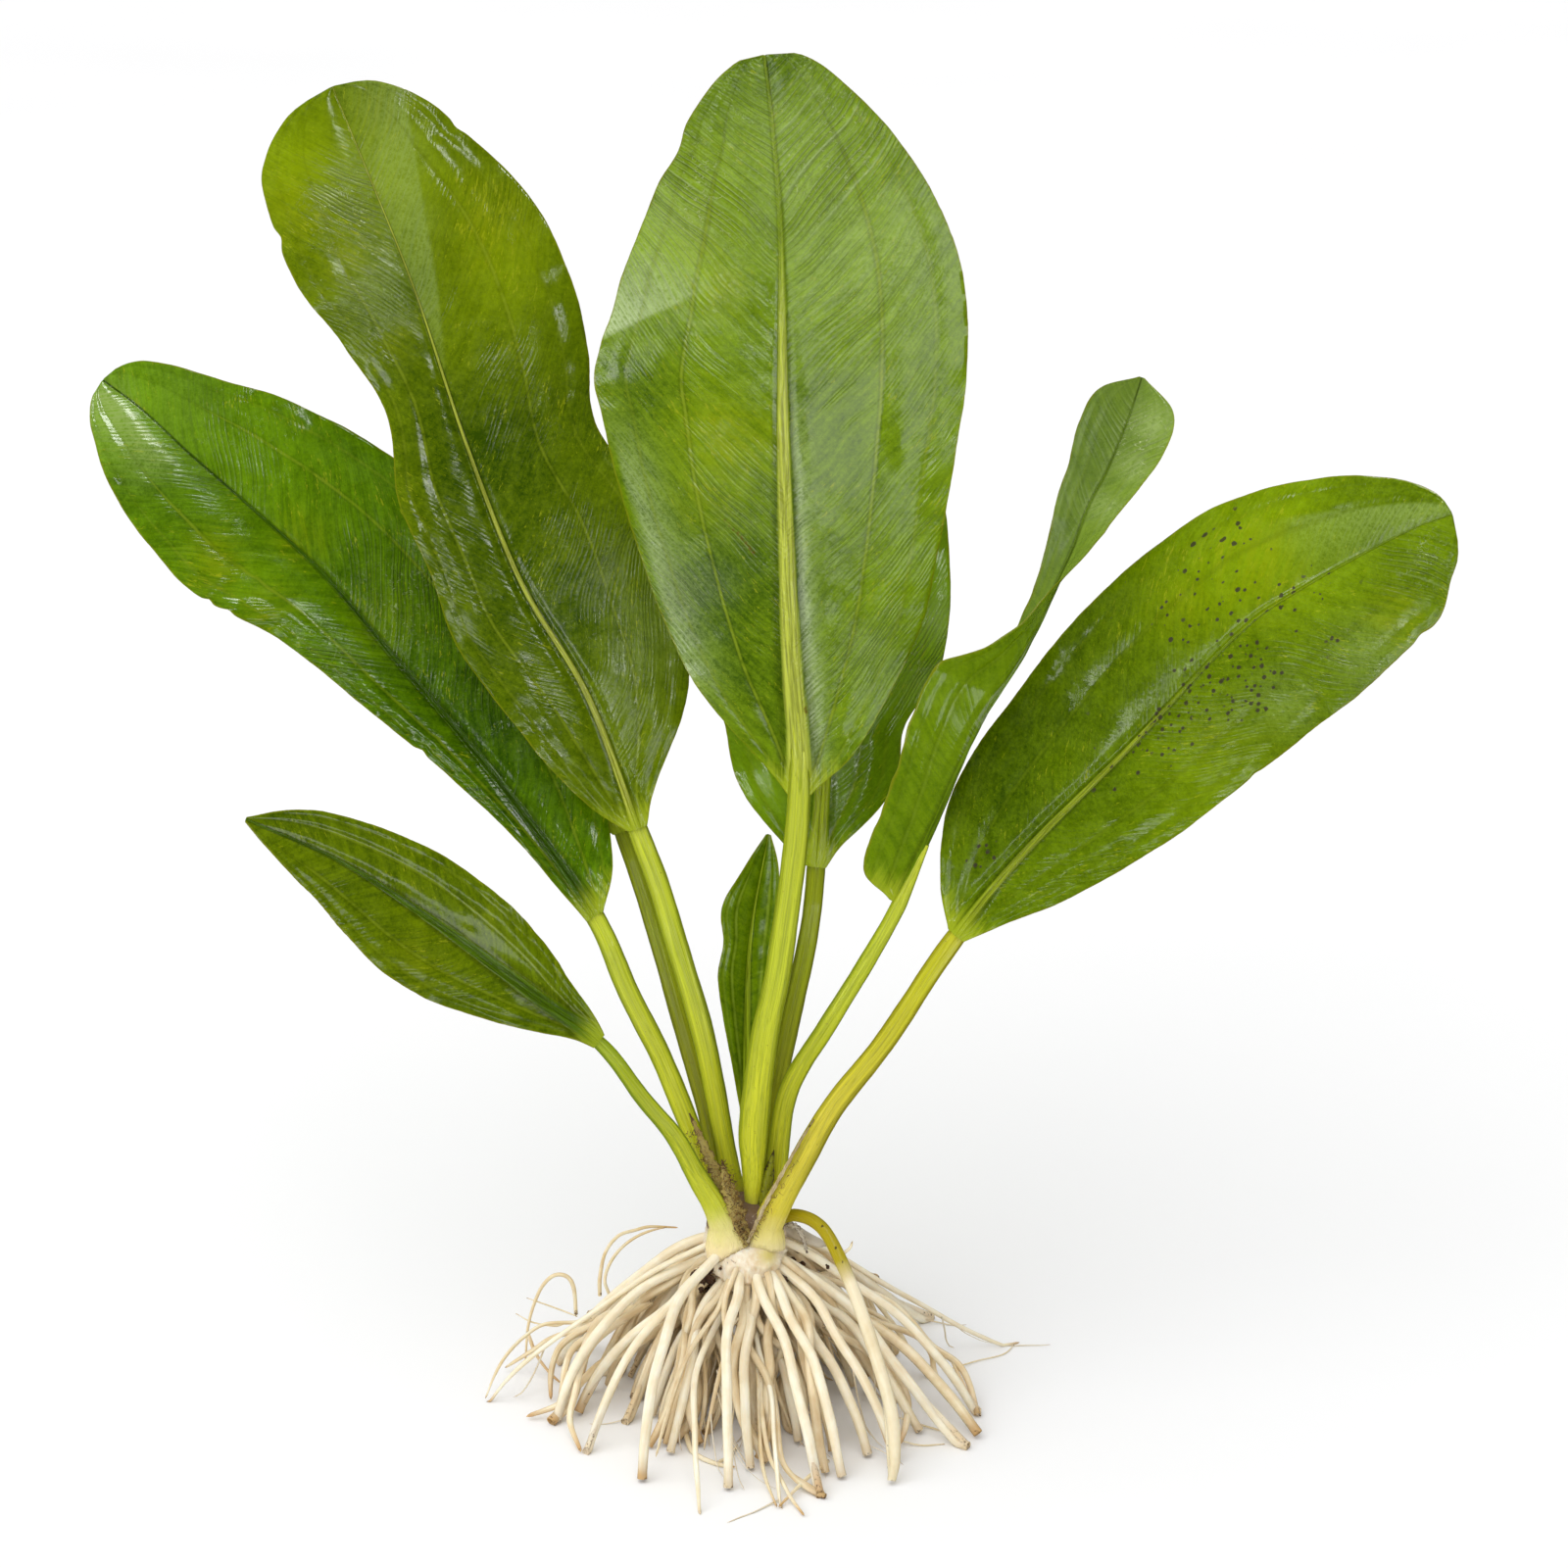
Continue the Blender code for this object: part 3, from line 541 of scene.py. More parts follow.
    # painted shade: a dark line along each side of the midrib
    ribSideShade = fade(tree, ribEdge, 0.9, 1.15, 0.0, 1.0) * fade(tree, ribEdge, 1.15, 2.2, 0.4, 0.0)
    ribShade = 1.0 - ribSideShade * (ribFade * 0.5 + 0.5)
    colour = darken(tree, colour, ribShade)
    # the foot takes the colour of the stalk
    footPlace = (stripes - 0.5) * 12.0 + place[1]
    colour = blendColour(tree, fade(tree, footPlace, 0.5, 7.5, 0.85, 0.0), colour, rgb(164, 180, 36))
    margin = fade(tree, mottle * 0.2 + marks[2], 0.1, 0.5, 0.7, 0.0)
    colour = blendColour(tree, margin, colour, rgb(128, 132, 18))
    # the dark specks that some leaves carry, each its own size
    cells = addNode(tree, "TexVoronoi", {"Vector": vectorOf(tree, place[0], place[1] * 0.8, halves),
                                         "Scale": 1.15, "Randomness": 1.0}).outputs
    chance = channels(tree, cells["Color"], "SeparateColor")
    room = tone[1] - chance[0]
    speckSize = chance[1] * 0.32 + 0.2
    speckEdge = speckSize - (grain * 0.25 + cells["Distance"])
    specks = fade(tree, room, 0.0, 0.05) * fade(tree, speckEdge, -0.14, -0.06)
    colour = blendColour(tree, specks * 0.85, colour, rgb(52, 40, 22))
    scarred = fade(tree, grain * 1.8 + given["Scar"], 1.25, 1.95, 0.0, 0.8)
    colour = blendColour(tree, scarred * fade(tree, given["Scar"], 0.1, 0.3), colour, rgb(96, 66, 16))
    fill(tree, colour, out["Color"])
    fill(tree, mottle * 0.05 + specks * 0.3 + tone[2] * 0.15 + 0.11, out["Roughness"])
    pebble = noiseNode(tree, flat, 1.25, 2.0, 0.5)
    height = (strips + pebble) * 0.45 + mottle * 0.15 - lines * 0.4 - fine * 0.06
    height = height * (tint[2] * 2.6 + 0.35) + curls * tint[2]
    height = ribMask * stripes * 2.4 + height
    fill(tree, height * given["Relief"], out["Height"])
    return tree


bladePattern = bladePatternGroup()

leafLooks = {
    # deep, fresh, vein, midrib, slant of the cross veins, and how strong each effect is
    "upper": {"Deep": rgb(48, 72, 0), "Fresh": rgb(130, 153, 2), "Vein": rgb(138, 156, 30),
              "Rib": rgb(160, 176, 30),
              "Pale": rgb(150, 172, 96), "Slant": 1.0, "Bend": 0.012, "Lines": 0.2, "Bloom": 0.0,
              "Flecks": 0.6,
              "Vein Show": 0.4, "Rib Reach": 220.0, "Relief": 1.0},
    "under": {"Deep": rgb(60, 88, 2), "Fresh": rgb(140, 172, 14), "Vein": rgb(140, 160, 30),
              "Rib": rgb(190, 200, 74),
              "Pale": rgb(186, 204, 150), "Slant": 0.8, "Bend": 0.012, "Lines": 0.15, "Bloom": 0.0,
              "Flecks": 0.6,
              "Vein Show": 0.65, "Rib Reach": 115.0, "Relief": 1.0},
    "smooth": {"Deep": rgb(76, 106, 2), "Fresh": rgb(130, 160, 6), "Vein": rgb(150, 172, 50),
               "Rib": rgb(160, 180, 36),
               "Pale": rgb(150, 172, 96), "Slant": 0.9, "Bend": 0.012, "Lines": 0.12, "Bloom": 0.0,
               "Flecks": 0.12,
               "Vein Show": 0.5, "Rib Reach": 220.0, "Relief": 0.5},
}


def leafFinish(name, look):
    made, tree, shader = newMaterial(name + "_surface", IOR=1.45)
    inputs = {label: attributeNode(tree, label.lower())
              for label in ("Place", "Marks", "Tone", "Tint", "Scar")}
    wearPattern(tree, shader, bladePattern, {**inputs, **look}, 1.0, 0.00013)
    return made


def look(kind, **changes):
    return {**leafLooks[kind], **{key.replace("_", " "): value for key, value in changes.items()}}


# stalk: (x, y, z, width) from the crown to where the blade starts; rib: on along the midrib to the tip.
# outline: (share of the midrib, left width, right width); sheath: the stalk's foot, over the crown's front;
# lip: (x, z) along the sheath's lower edge; frayed: how brown that edge is.
# The rest shapes the sheet, as in makeBlade; pale spots and sheen lines are painted sheen, embossed spots get
# painted highlights, glow patches are partly painted light.
leaves = {
    "front": {
        "stalk": [(0.2, -0.8, 36.3, 2.2), (0.4, -2.6, 47, 4.4), (0.6, -3.2, 57, 5.6), (2.6, -4.5, 75, 5.1),
                  (5.6, -6.5, 92, 4.7), (9, -10, 125.5, 4.2)],
        "rib": [(7.4, -15, 157), (6.2, -21, 194), (5.8, -26, 230), (4.4, -29, 250), (3.1, -31, 262.4)],
        "outline": [(0, 2.3, 2.3), (0.06, 8.5, 10.5), (0.2, 19.8, 22.5), (0.4, 28.2, 28.4), (0.6, 31.6, 32),
                    (0.75, 24.8, 29.2), (0.88, 17.6, 20), (0.96, 10.4, 11.2), (0.99, 5.6, 6.4),
                    (0.998, 3, 3.4), (1, 0.5, 0.5)],
        "face": (0, -1, 0.1), "fold": (-14, -14), "roll": (-8, -8), "wave": (1.2, 2.5),
        "ribFront": 0.9, "ribBack": -0.2, "ribWidth": 1.35, "ribStrands": 0.16, "veinDepth": 1.6,
        "frill": 0.2, "dents": [(0.3, 14, 14, 0.8), (0.45, 18, 12, -0.8), (0.5, -16, 10, -0.6)],
        "creases": [(0.685, -17, 0.625, -32, -12, 13)],
        "paintedSheenLines": [(0.69, -15, 0.622, -33, (0.4, 1.1), 12), (0.05, 2.6, 0.5, 2.1, (0.6, 0.45), 2.6),
                   (0.17, -18.5, 0.47, -28.5, (0.4, 0.4), 5)],
        "embossed": [(0.82, -14, 13, 1.0), (0.72, -24, 10, 0.7), (0.87, 8, 15, 0.9), (0.72, 14, 14, 0.5),
                     (0.2, 12, 8, 0.5), (0.35, 14, 8, 0.4), (0.4, -4, 9, 0.5), (0.3, -20, 8, 0.6)],
        "nicks": [(-1, 0.885, 1.2, 4), (-1, 0.66, 0.7, 4), (-1, 0.575, -0.8, 4)],
        "scars": [(0.392, -11, 0.372, -8.4, 0.3), (0.37, -8.2, 0.345, -5.6, 0.4),
                  (0.128, 1.8, 0.12, 1.9, 0.4)],
        "toneAndLightPatches": [(0.74, -20, 12, 0.5), (0.85, -12, 9, 0.3), (0.9, 6, 14, 0.25), (0.72, 16, 18, 0.25),
                  (0.47, -12, 10, 0.15), (0.56, -24, 7, -0.2), (0.98, 0, 8, -0.25), (0.3, -10, 12, -0.35),
                  (0.15, -4, 8, -0.15), (0.3, 16, 12, 0.1)],
        "pale": [(0.78, -20, 8, 0.25), (0.75, 18, 14, 0.12), (0.88, 4, 12, 0.12), (0.3, -14, 5, 0.12),
                 (0.2, 13, 4, 0.15)],
        "yellowed": [(0.7, -10, 5, 0.5), (0.5, -9, 8, 0.6), (0.42, -14, 6, 0.3), (0.76, -14, 6, 0.3)],
        "look": look("under"), "stem": "bright",
    },
    "upper_left": {
        "stalk": [(-2.2, 5.2, 36.3, 3.2), (-4.6, 4.6, 46.5, 3.8), (-8.9, 4.4, 71, 4.3), (-14.1, 5, 90.6, 4.2),
                  (-17.4, 7, 101.7, 4.1), (-21.1, 8, 112, 3.8)],
        "rib": [(-30, 10, 137.5), (-42, 13, 158.5), (-51.8, 17, 184), (-60.3, 21, 210.5), (-68.7, 24, 232.4),
                (-74.6, 26, 247.3)],
        "outline": [(0, 2, 2), (0.05, 7, 6), (0.15, 13, 18), (0.3, 16, 27), (0.4, 14.5, 28), (0.5, 15, 23.5),
                    (0.6, 12, 26.5), (0.7, 15.6, 27.5), (0.8, 19.4, 25), (0.91, 18.8, 17.5),
                    (0.955, 15.4, 13.2), (0.985, 10, 8.2), (0.996, 5, 4), (1, 0.5, 0.5)],
        "creases": [(0.66, 1.5, 0.985, 12, -9, 12)],
        "paintedSheenLines": [(0.985, 12, 0.68, 2, (0.5, 0.35), 8)],
        "face": (0.05, -1, 0.25), "fold": (16, 16), "roll": (22, 24), "wave": (1.6, 3),
        "ribFront": 0.4, "ribBack": 0.9, "ribWidth": 0.42,
        "nicks": [(-1, 0.855, 0.8, 1.5), (1, 0.9, 0.5, 1.2)],
        "embossed": [(0.86, -6, 8, 0.8), (0.74, -8, 7, 0.6), (0.35, 16, 9, 0.4), (0.25, 14, 8, 0.3),
                     (0.55, 14, 8, 0.3)],
        "toneAndLightPatches": [(0.88, 6, 10, 0.45), (0.93, -12, 10, 0.5), (0.72, 18, 11, 0.3), (0.8, -10, 8, 0.2),
                  (0.3, 0, 18, -0.25), (0.52, -4, 14, -0.25), (0.5, 16, 14, -0.15)],
        "pale": [(0.9, 5, 5, 0.4), (0.82, 3, 4, 0.4), (0.76, -6, 6, 0.2), (0.22, 16, 7, 0.15)],
        "yellowed": [(0.8, -9, 5, 0.5), (0.88, -14, 6, 0.5), (0.78, 17, 9, 0.5), (0.95, 6, 5, 0.4),
                     (0.68, -6, 4, 0.3)],
        "look": look("upper", Streaks=0.1, Lines=0.15, Rib=rgb(172, 180, 62)), "stem": "bright",
    },
    "back_left": {
        "stalk": [(-5.9, 4.4, 36.3, 2.4), (-8.6, 7, 53, 2.8), (-12.6, 9, 69, 3.2), (-17.7, 12, 88, 3.2),
                  (-21.1, 14, 99, 3), (-24.4, 15.5, 108.5, 2.8)],
        "rib": [(-32.4, 22, 128), (-41.7, 31, 149), (-49.1, 41, 173), (-55.9, 51, 194.5)],
        "outline": [(0, 1.6, 1.6), (0.1, 8, 8), (0.3, 15, 15), (0.5, 17, 17), (0.7, 15, 15), (0.88, 9.5, 9.5),
                    (0.97, 4, 4), (1, 0.5, 0.5)],
        "face": (0, -1, 0.5), "fold": (12, 12), "roll": (16, 16), "wave": (1.2, 2.5),
        "ribFront": 0.35, "ribBack": 0.9, "look": look("upper"), "stem": "dull",
    },
    "left": {
        "stalk": [(-6.2, 0.8, 36.3, 3.4), (-8, 1.6, 43.3, 3.8), (-10.9, 2, 51.6, 4), (-16.9, 4, 67, 4),
                  (-23.3, 6, 80.2, 4), (-29.3, 8, 94.4, 3.6)],
        "rib": [(-41.1, 12, 111.6), (-55.5, 16, 129.6), (-66.8, 19, 142.5), (-79.5, 22, 157.5),
                (-94, 25, 170.7), (-103.8, 27, 179.1), (-112.5, 29, 187), (-119.8, 31, 192.1)],
        "outline": [(0, 1.9, 1.9), (0.06, 3, 9), (0.2, 5, 19), (0.4, 9.6, 26), (0.55, 13.4, 26),
                    (0.7, 18.6, 23), (0.8, 17.8, 19), (0.9, 13.8, 12.8), (0.96, 9.4, 8.2), (0.985, 6, 5.4),
                    (0.997, 3, 2.6), (1, 0.5, 0.5)],
        "face": (0.1, -1, 0.35), "fold": (34, 12), "roll": (30, 18), "wave": (1.4, 3.5),
        "ribFront": -0.25, "ribBack": 0.9, "ribWidth": 0.6, "frill": 0.9,
        "embossed": [(0.5, 10, 12, 0.6), (0.35, 14, 10, 0.6), (0.8, 4, 10, 0.3), (0.5, -10, 6, 0.8)],
        "nicks": [(-1, 0.66, 0.5, 1.2), (-1, 0.69, 0.5, 0.8), (-1, 0.33, 0.5, 1)],
        "toneAndLightPatches": [(0.8, 8, 12, 0.25), (0.66, -10, 9, 0.25), (0.95, -4, 10, 0.5), (0.35, 4, 14, -0.2),
                  (0.2, 0, 12, -0.2)],
        "pale": [(0.97, -3, 5, 0.4), (0.9, 4, 8, 0.1)],
        "paintedSheenLines": [(0.995, -1, 0.86, -3, (0.9, 0.6), 7)],
        "yellowed": [(0.72, -12, 6, 0.5), (0.66, 2, 5, 0.4), (0.62, -12, 5, 0.4), (0.5, 3, 6, 0.25)],
        "look": look("upper", Deep=rgb(42, 74, 0), Fresh=rgb(112, 154, 2), Rib=rgb(60, 92, 4)),
        "stem": "bright",
    },
    "lower_left": {
        "stalk": [(-5.1, -4.4, 36.3, 5.9), (-7.1, -5, 41, 4.6), (-10.2, -6, 47.2, 3.9),
                  (-14.2, -8, 56.3, 3.4), (-20.1, -10, 65.2, 3.0), (-27.8, -14, 78.4, 2.6)],
        "rib": [(-38.3, -19, 89), (-55, -26, 106), (-71.3, -33, 121), (-87, -40, 131.8)],
        "outline": [(0, 1.6, 1.6), (0.1, 3.6, 4.6), (0.25, 8.2, 8.8), (0.45, 12.6, 10.6), (0.6, 12.4, 10.4),
                    (0.8, 7.8, 7.4), (0.92, 4, 4.4), (1, 0.5, 0.5)],
        "sheath": [(-4.2, -4.4, 25.5, 6.6), (-4.4, -4.5, 29.4, 8.2), (-4.5, -4.2, 32.8, 8.4)],
        "frayed": 0.9,
        "lip": [(-9, 27.4), (-7.6, 27.6), (-6.5, 28.2), (-3.6, 30.2), (-0.5, 31.2), (1, 31.6)],
        "face": (0, -1, 0.7), "fold": (14, 14), "roll": (16, 16), "wave": (0.8, 2.5),
        "ribFront": -0.2, "ribBack": 0.8, "yellowed": [(0.5, -8, 6, 0.3), (0.4, 5, 5, 0.2)],
        "look": look("upper", Rib=rgb(78, 108, 8), Lines=0.2), "stem": "green",
    },
    "back": {
        "stalk": [(2.2, 4.8, 36.3, 3), (3.1, 4.6, 46, 3.3), (3.8, 4.6, 55, 3.6), (6.7, 5.2, 70.6, 3.8),
                  (10.7, 5.4, 90.6, 3.6), (12.3, 6.5, 105, 3.4)],
        "rib": [(13.9, 10, 131.8), (12.6, 18, 163.4), (9, 30, 190), (6.3, 40, 206)],
        "outline": [(0, 1.9, 1.9), (0.05, 8, 5), (0.15, 16, 13.4), (0.25, 18.6, 14.8), (0.35, 21, 21.6),
                    (0.5, 24, 24), (0.7, 22, 23), (0.86, 15.5, 16), (0.96, 8, 8), (1, 0.5, 0.5)],
        "face": (0, -1, 0.3), "fold": (12, 12), "roll": (18, 18), "wave": (1.5, 3),
        "ribFront": 0.35, "ribBack": 0.9,
        "toneAndLightPatches": [(0.45, 20, 10, 0.8), (0.3, 16, 8, 0.4), (0.14, -10, 9, 0.5)],
        "pale": [(0.42, 21, 4, 0.4), (0.32, 18, 3, 0.4)], "embossed": [(0.38, 18, 8, 0.8)],
        "look": look("upper", Deep=rgb(56, 84, 0), Fresh=rgb(124, 160, 14), Streaks=0.1, Lines=0.12),
        "stem": "dull",
    },
    "young": {
        "stalk": [(0, 2.2, 36.3, 1.8), (-0.6, 2, 47, 2.1), (-0.8, 2, 57, 2.4)],
        "rib": [(-0.7, 2.4, 75.5), (0.1, 2.8, 93), (3.4, 2.4, 113)],
        "outline": [(0, 1.2, 1.2), (0.25, 3.6, 3), (0.5, 6, 4.4), (0.62, 5.4, 4.6), (0.75, 6.4, 4.2),
                    (0.9, 3.4, 2.8), (1, 0.5, 0.5)],
        "face": (0.1, -1, 0), "fold": (34, 38), "roll": (14, 6), "wave": (0.6, 2.5),
        "ribFront": -0.2, "ribBack": 0.5, "ribWidth": 0.5, "look": look("smooth", Deep=rgb(56, 88, 0)),
        "stem": "green",
    },
    "twisted": {
        "stalk": [(4.9, 1.6, 36.3, 3.4), (5.2, 1.2, 49, 4), (7.4, 0.2, 62.7, 3.7), (14.6, -2, 76.7, 3.4),
                  (21.8, -4, 90.4, 3.1), (27.6, -5, 102.2, 2.8)],
        "rib": [(34.8, -8, 121), (41.6, -10, 138.7), (49.2, -10, 151.7), (56.8, -8, 168.4), (60.2, -6, 177.8),
                (63.7, -4, 184.5), (67.1, -2, 192.9), (69.6, 0, 200.4)],
        "outline": [(0, 1.6, 1.6), (0.05, 8, 5), (0.2, 9.2, 7.5), (0.4, 10.8, 8), (0.5, 8.6, 6),
                    (0.6, 5, 3.4), (0.7, 5.4, 4), (0.8, 6.6, 5.6), (0.9, 8.2, 7.8), (0.96, 7, 7),
                    (1, 0.5, 0.5)],
        "face": (0, -1, 0.15), "turn": [(0, -42), (0.42, -50), (0.6, -95), (0.74, -155), (1, -182)],
        "fold": (-28, -34), "roll": (10, 10), "wave": (0.6, 2.5),
        "ribFront": 0.2, "ribBack": 0.2, "ribWidth": 0.6,
        "pale": [(0.93, -4, 3, 0.7), (0.86, -4, 3, 0.6), (0.78, -3, 3, 0.5)],
        "embossed": [(0.9, -4, 7, 1.0), (0.78, -3, 5, 0.6)],
        "toneAndLightPatches": [(0.88, 4, 9, -0.3), (0.88, -5, 8, 0.2)],
        "look": look("smooth", Rib=rgb(96, 124, 8), Vein=rgb(126, 152, 30), Vein_Show=0.3), "stem": "bright",
    },
    "right": {
        "stalk": [(3.2, -4.6, 36.3, 5.8), (5.6, -5.4, 42, 5.2), (9.1, -6, 49.2, 4.8), (15.5, -7, 61.9, 4.3),
                  (25.4, -8, 76.3, 3.9), (37.9, -8, 97, 3.6)],
        "rib": [(51, -8, 114.3), (68.3, -9, 133.7), (86.5, -12, 156), (96.4, -14, 164.8), (114.2, -18, 176.8),
                (122.5, -20, 181)],
        "outline": [(0, 1.9, 1.9), (0.05, 8, 5), (0.15, 16.5, 11), (0.3, 21.2, 16), (0.5, 22.8, 19.8),
                    (0.7, 20.6, 22), (0.85, 15.6, 18.6), (0.93, 10.5, 15.2), (0.98, 5.4, 9.6),
                    (0.995, 2.8, 5), (1, 0.5, 0.5)],
        "sheath": [(2.3, -4.6, 26.5, 6.2), (2.7, -4.9, 30, 7.2), (2.9, -4.6, 32.8, 7.6)], "frayed": 0.4,
        "lip": [(-1, 31.6), (2.3, 31.4), (5.4, 30.2), (7, 29.6)],
        "face": (-0.1, -1, 0.5), "fold": (10, 10), "roll": (16, 20), "wave": (1.2, 3),
        "ribFront": 0.2, "ribBack": 0.9, "ribWidth": 0.5, "nicks": [(1, 0.88, 0.6, 1.6), (1, 0.5, 0.3, 1.2)],
        "creases": [(0.99, -2, 0.8, -12, 9, 9)],
        "embossed": [(0.94, 6, 7, 0.7), (0.75, 14, 8, 0.4), (0.5, 4, 8, 0.4)],
        "toneAndLightPatches": [(0.74, -10, 14, 0.5), (0.45, 14, 12, 0.2), (0.22, -8, 14, -0.15), (0.4, -12, 12, -0.1),
                  (0.95, 0, 9, 0.1)],
        "yellowed": [(0.72, -8, 9, 0.55), (0.62, -10, 7, 0.35), (0.86, 12, 5, 0.45), (0.5, 12, 12, 0.2)],
        "pale": [(0.8, 16, 6, 0.25), (0.62, 15, 6, 0.2)],
        "paintedSheenLines": [(0.8, -11, 0.99, -2, (0.3, 0.5), 8)],
        "grime": [(0.6, 6, 7, 0.6), (0.55, 4, 6, 0.85), (0.47, 3, 5, 0.7), (0.42, 2, 5, 0.5),
                  (0.68, -4, 8, 0.35), (0.68, -12, 8, 0.3), (0.58, -8, 10, 0.22), (0.75, 3, 8, 0.18),
                  (0.35, 0, 8, 0.14), (0.12, -5, 4, 0.25)],
        "look": look("upper", Fresh=rgb(128, 158, 2), Rib=rgb(144, 160, 34), Vein=rgb(112, 134, 16),
                     Lines=0.1,
                     Streaks=0.1, Vein_Show=0.3, Rib_Reach=70.0), "stem": "yellow",
    },
}


# stalks, on the crown

crownSettings = {
    "x": -1.0,  # it stands a little left of the origin
    "profile": [(18.2, 1.2), (19, 2.8), (20.5, 4.9), (23.5, 6.5), (27, 7.2), (31, 7.5), (34, 7.5),
                (36.4, 6.9), (38.6, 5.4), (39.8, 2.5)],
    "sides": 150,
    "rings": 120,
    "lump": 0.3,
    # swellings: where, size and height in mm
    "swellings": [((0.2, -7, 26.8), 4.8, 1.6), ((4.4, -5, 27.5), 3.6, 0.5), ((-0.6, -7.4, 34.6), 2.6, -3.0),
                  ((3.4, -6.6, 30), 2.8, 0.8), ((-4.6, -6.4, 27.6), 2.6, 0.7), ((3.8, 4, 30), 4, 0.7),
                  ((-5, 4.4, 29), 4, 0.8)],
    "crack": [(-8.4, -3.0, 26.9), (-7.2, -5.0, 27.2), (-5.8, -6.8, 28.0), (-4.2, -7.8, 29.2),
              (-2.8, -8.4, 30.2)],
    "sideCrack": [(0.6, -8.6, 30.3), (1.6, -8.7, 29.9), (2.8, -8.5, 29.8)],
    "grubby": [((-8, -4, 24.4), 1.8), ((5.6, -5.4, 24.4), 1.6)],
    "yellow": ((3.4, -7.6, 31.4), 2.0),
}

stemSettings = {
    "sides": 40,
    "rings": 110,
    "samples": 160,  # points along the line that a stalk follows
    "ridges": 11,
    "ridgeDepth": 0.035,
    "depth": 0.78,
    "foot": 5.0,  # mm that a stalk runs down into the crown
    "lip": 1.3,  # mm over which a sheath's lower edge rounds in
    "tuck": 1.4,  # how far it ends up inside the crown
    "slip": 1.4,  # how far a stalk's end runs behind a blade that shows its face
}

stemLooks = {
    "bright": {"Foot": rgb(238, 226, 180), "Low": rgb(214, 216, 50), "High": rgb(204, 214, 58),
               "Dark": rgb(124, 138, 12),
               "Foot Top": 39.0},
    "yellow": {"Foot": rgb(240, 226, 184), "Low": rgb(220, 206, 66), "High": rgb(200, 200, 40),
               "Dark": rgb(134, 128, 14),
               "Foot Top": 37.0},
    "green": {"Foot": rgb(246, 226, 176), "Low": rgb(206, 210, 54), "High": rgb(150, 176, 26),
              "Dark": rgb(108, 132, 10),
              "Foot Top": 38.5},
    "dull": {"Foot": rgb(190, 180, 106), "Low": rgb(176, 178, 40), "High": rgb(160, 172, 30),
             "Dark": rgb(106, 112, 10),
             "Foot Top": 39.0},
}


def stemPatternGroup():
    tree, given, out = newGroup("stemPattern", {
        "Place": (0.0, 0.0, 0.0), "Height": 0.0, "Foot": (0.8, 0.8, 0.5, 1), "Low": (0.6, 0.6, 0.05, 1),
        "High": (0.3, 0.4, 0.02, 1), "Dark": (0.15, 0.25, 0.01, 1), "Foot Top": 40.0, "Side Shade": 0.0,
        "Lip": 0.0,
    }, {"Color": "Color", "Roughness": "Float", "Height": "Float"})
    place = channels(tree, given["Place"])
    drawn = vectorOf(tree, place[0], place[1], place[2] * 0.02)
    streaks = fade(tree, noiseNode(tree, drawn, 1.3, 3.0, 0.6), 0.36, 0.64)
    cloud = noiseNode(tree, given["Place"], 0.12, 2.0, 0.5)
    height = given["Height"] + (cloud - 0.5) * 8.0
    footBlend = fade(tree, height, given["Foot Top"] - 9.0, given["Foot Top"] + 3.0)
    colour = blendColour(tree, footBlend, given["Foot"], given["Low"])
    colour = blendColour(tree, fade(tree, height, 52.0, 92.0), colour, given["High"])
    lineNoise = noiseNode(tree, vectorOf(tree, place[0], place[1], place[2] * 0.006), 2.6, 2.0, 0.6)
    strands = fade(tree, abs(lineNoise - 0.5), 0.0, 0.06, 0.34, 0.0)
    # darker streaks and strands, their own colour, and painted shade along the sides of the stalk
    streaksAndSideShade = streaks * 0.3 + (strands + fade(tree, given["Side Shade"], 0.55, 1.0, 0.0, 0.7))
    streaksAndSideShade = calc(tree, "MINIMUM", streaksAndSideShade, 0.9) * fade(tree, height, 34.0, 52.0, 0.0, 1.0)
    colour = blendColour(tree, streaksAndSideShade, colour, given["Dark"])
    specks = fade(tree, noiseNode(tree, given["Place"], 1.3, 3.0, 0.7), 0.67, 0.72, 0.0, 0.6)
    colour = blendColour(tree, specks, colour, rgb(120, 96, 40))
    frayed = given["Lip"] * fade(tree, noiseNode(tree, given["Place"], 1.6, 3.0, 0.7), 0.36, 0.52)
    colour = blendColour(tree, frayed, colour, rgb(112, 78, 42))
    fill(tree, colour, out["Color"])
    fill(tree, 0.18 + streaks * 0.12, out["Roughness"])
    fill(tree, streaks * -1.0, out["Height"])
    return tree


stemPattern = stemPatternGroup()


def stemFinish(kind):
    name = "stem_" + kind
    if name in bpy.data.materials:
        return bpy.data.materials[name]
    made, tree, shader = newMaterial(name, IOR=1.45, Subsurface_Weight=0.12, Subsurface_Scale=0.002)
    shader.inputs["Subsurface Radius"].default_value = (0.8, 1.0, 0.2)
    marks = channels(tree, attributeNode(tree, "marks"))
    height = channels(tree, addNode(tree, "TexCoord").outputs["Object"])[2] * 1000.0  # in mm
    inputs = {"Place": attributeNode(tree, "place"), "Height": height, "Side Shade": marks[0], "Lip": marks[2]}
    wearPattern(tree, shader, stemPattern, {**inputs, **stemLooks[kind]}, 0.6, 0.00015)
    return made


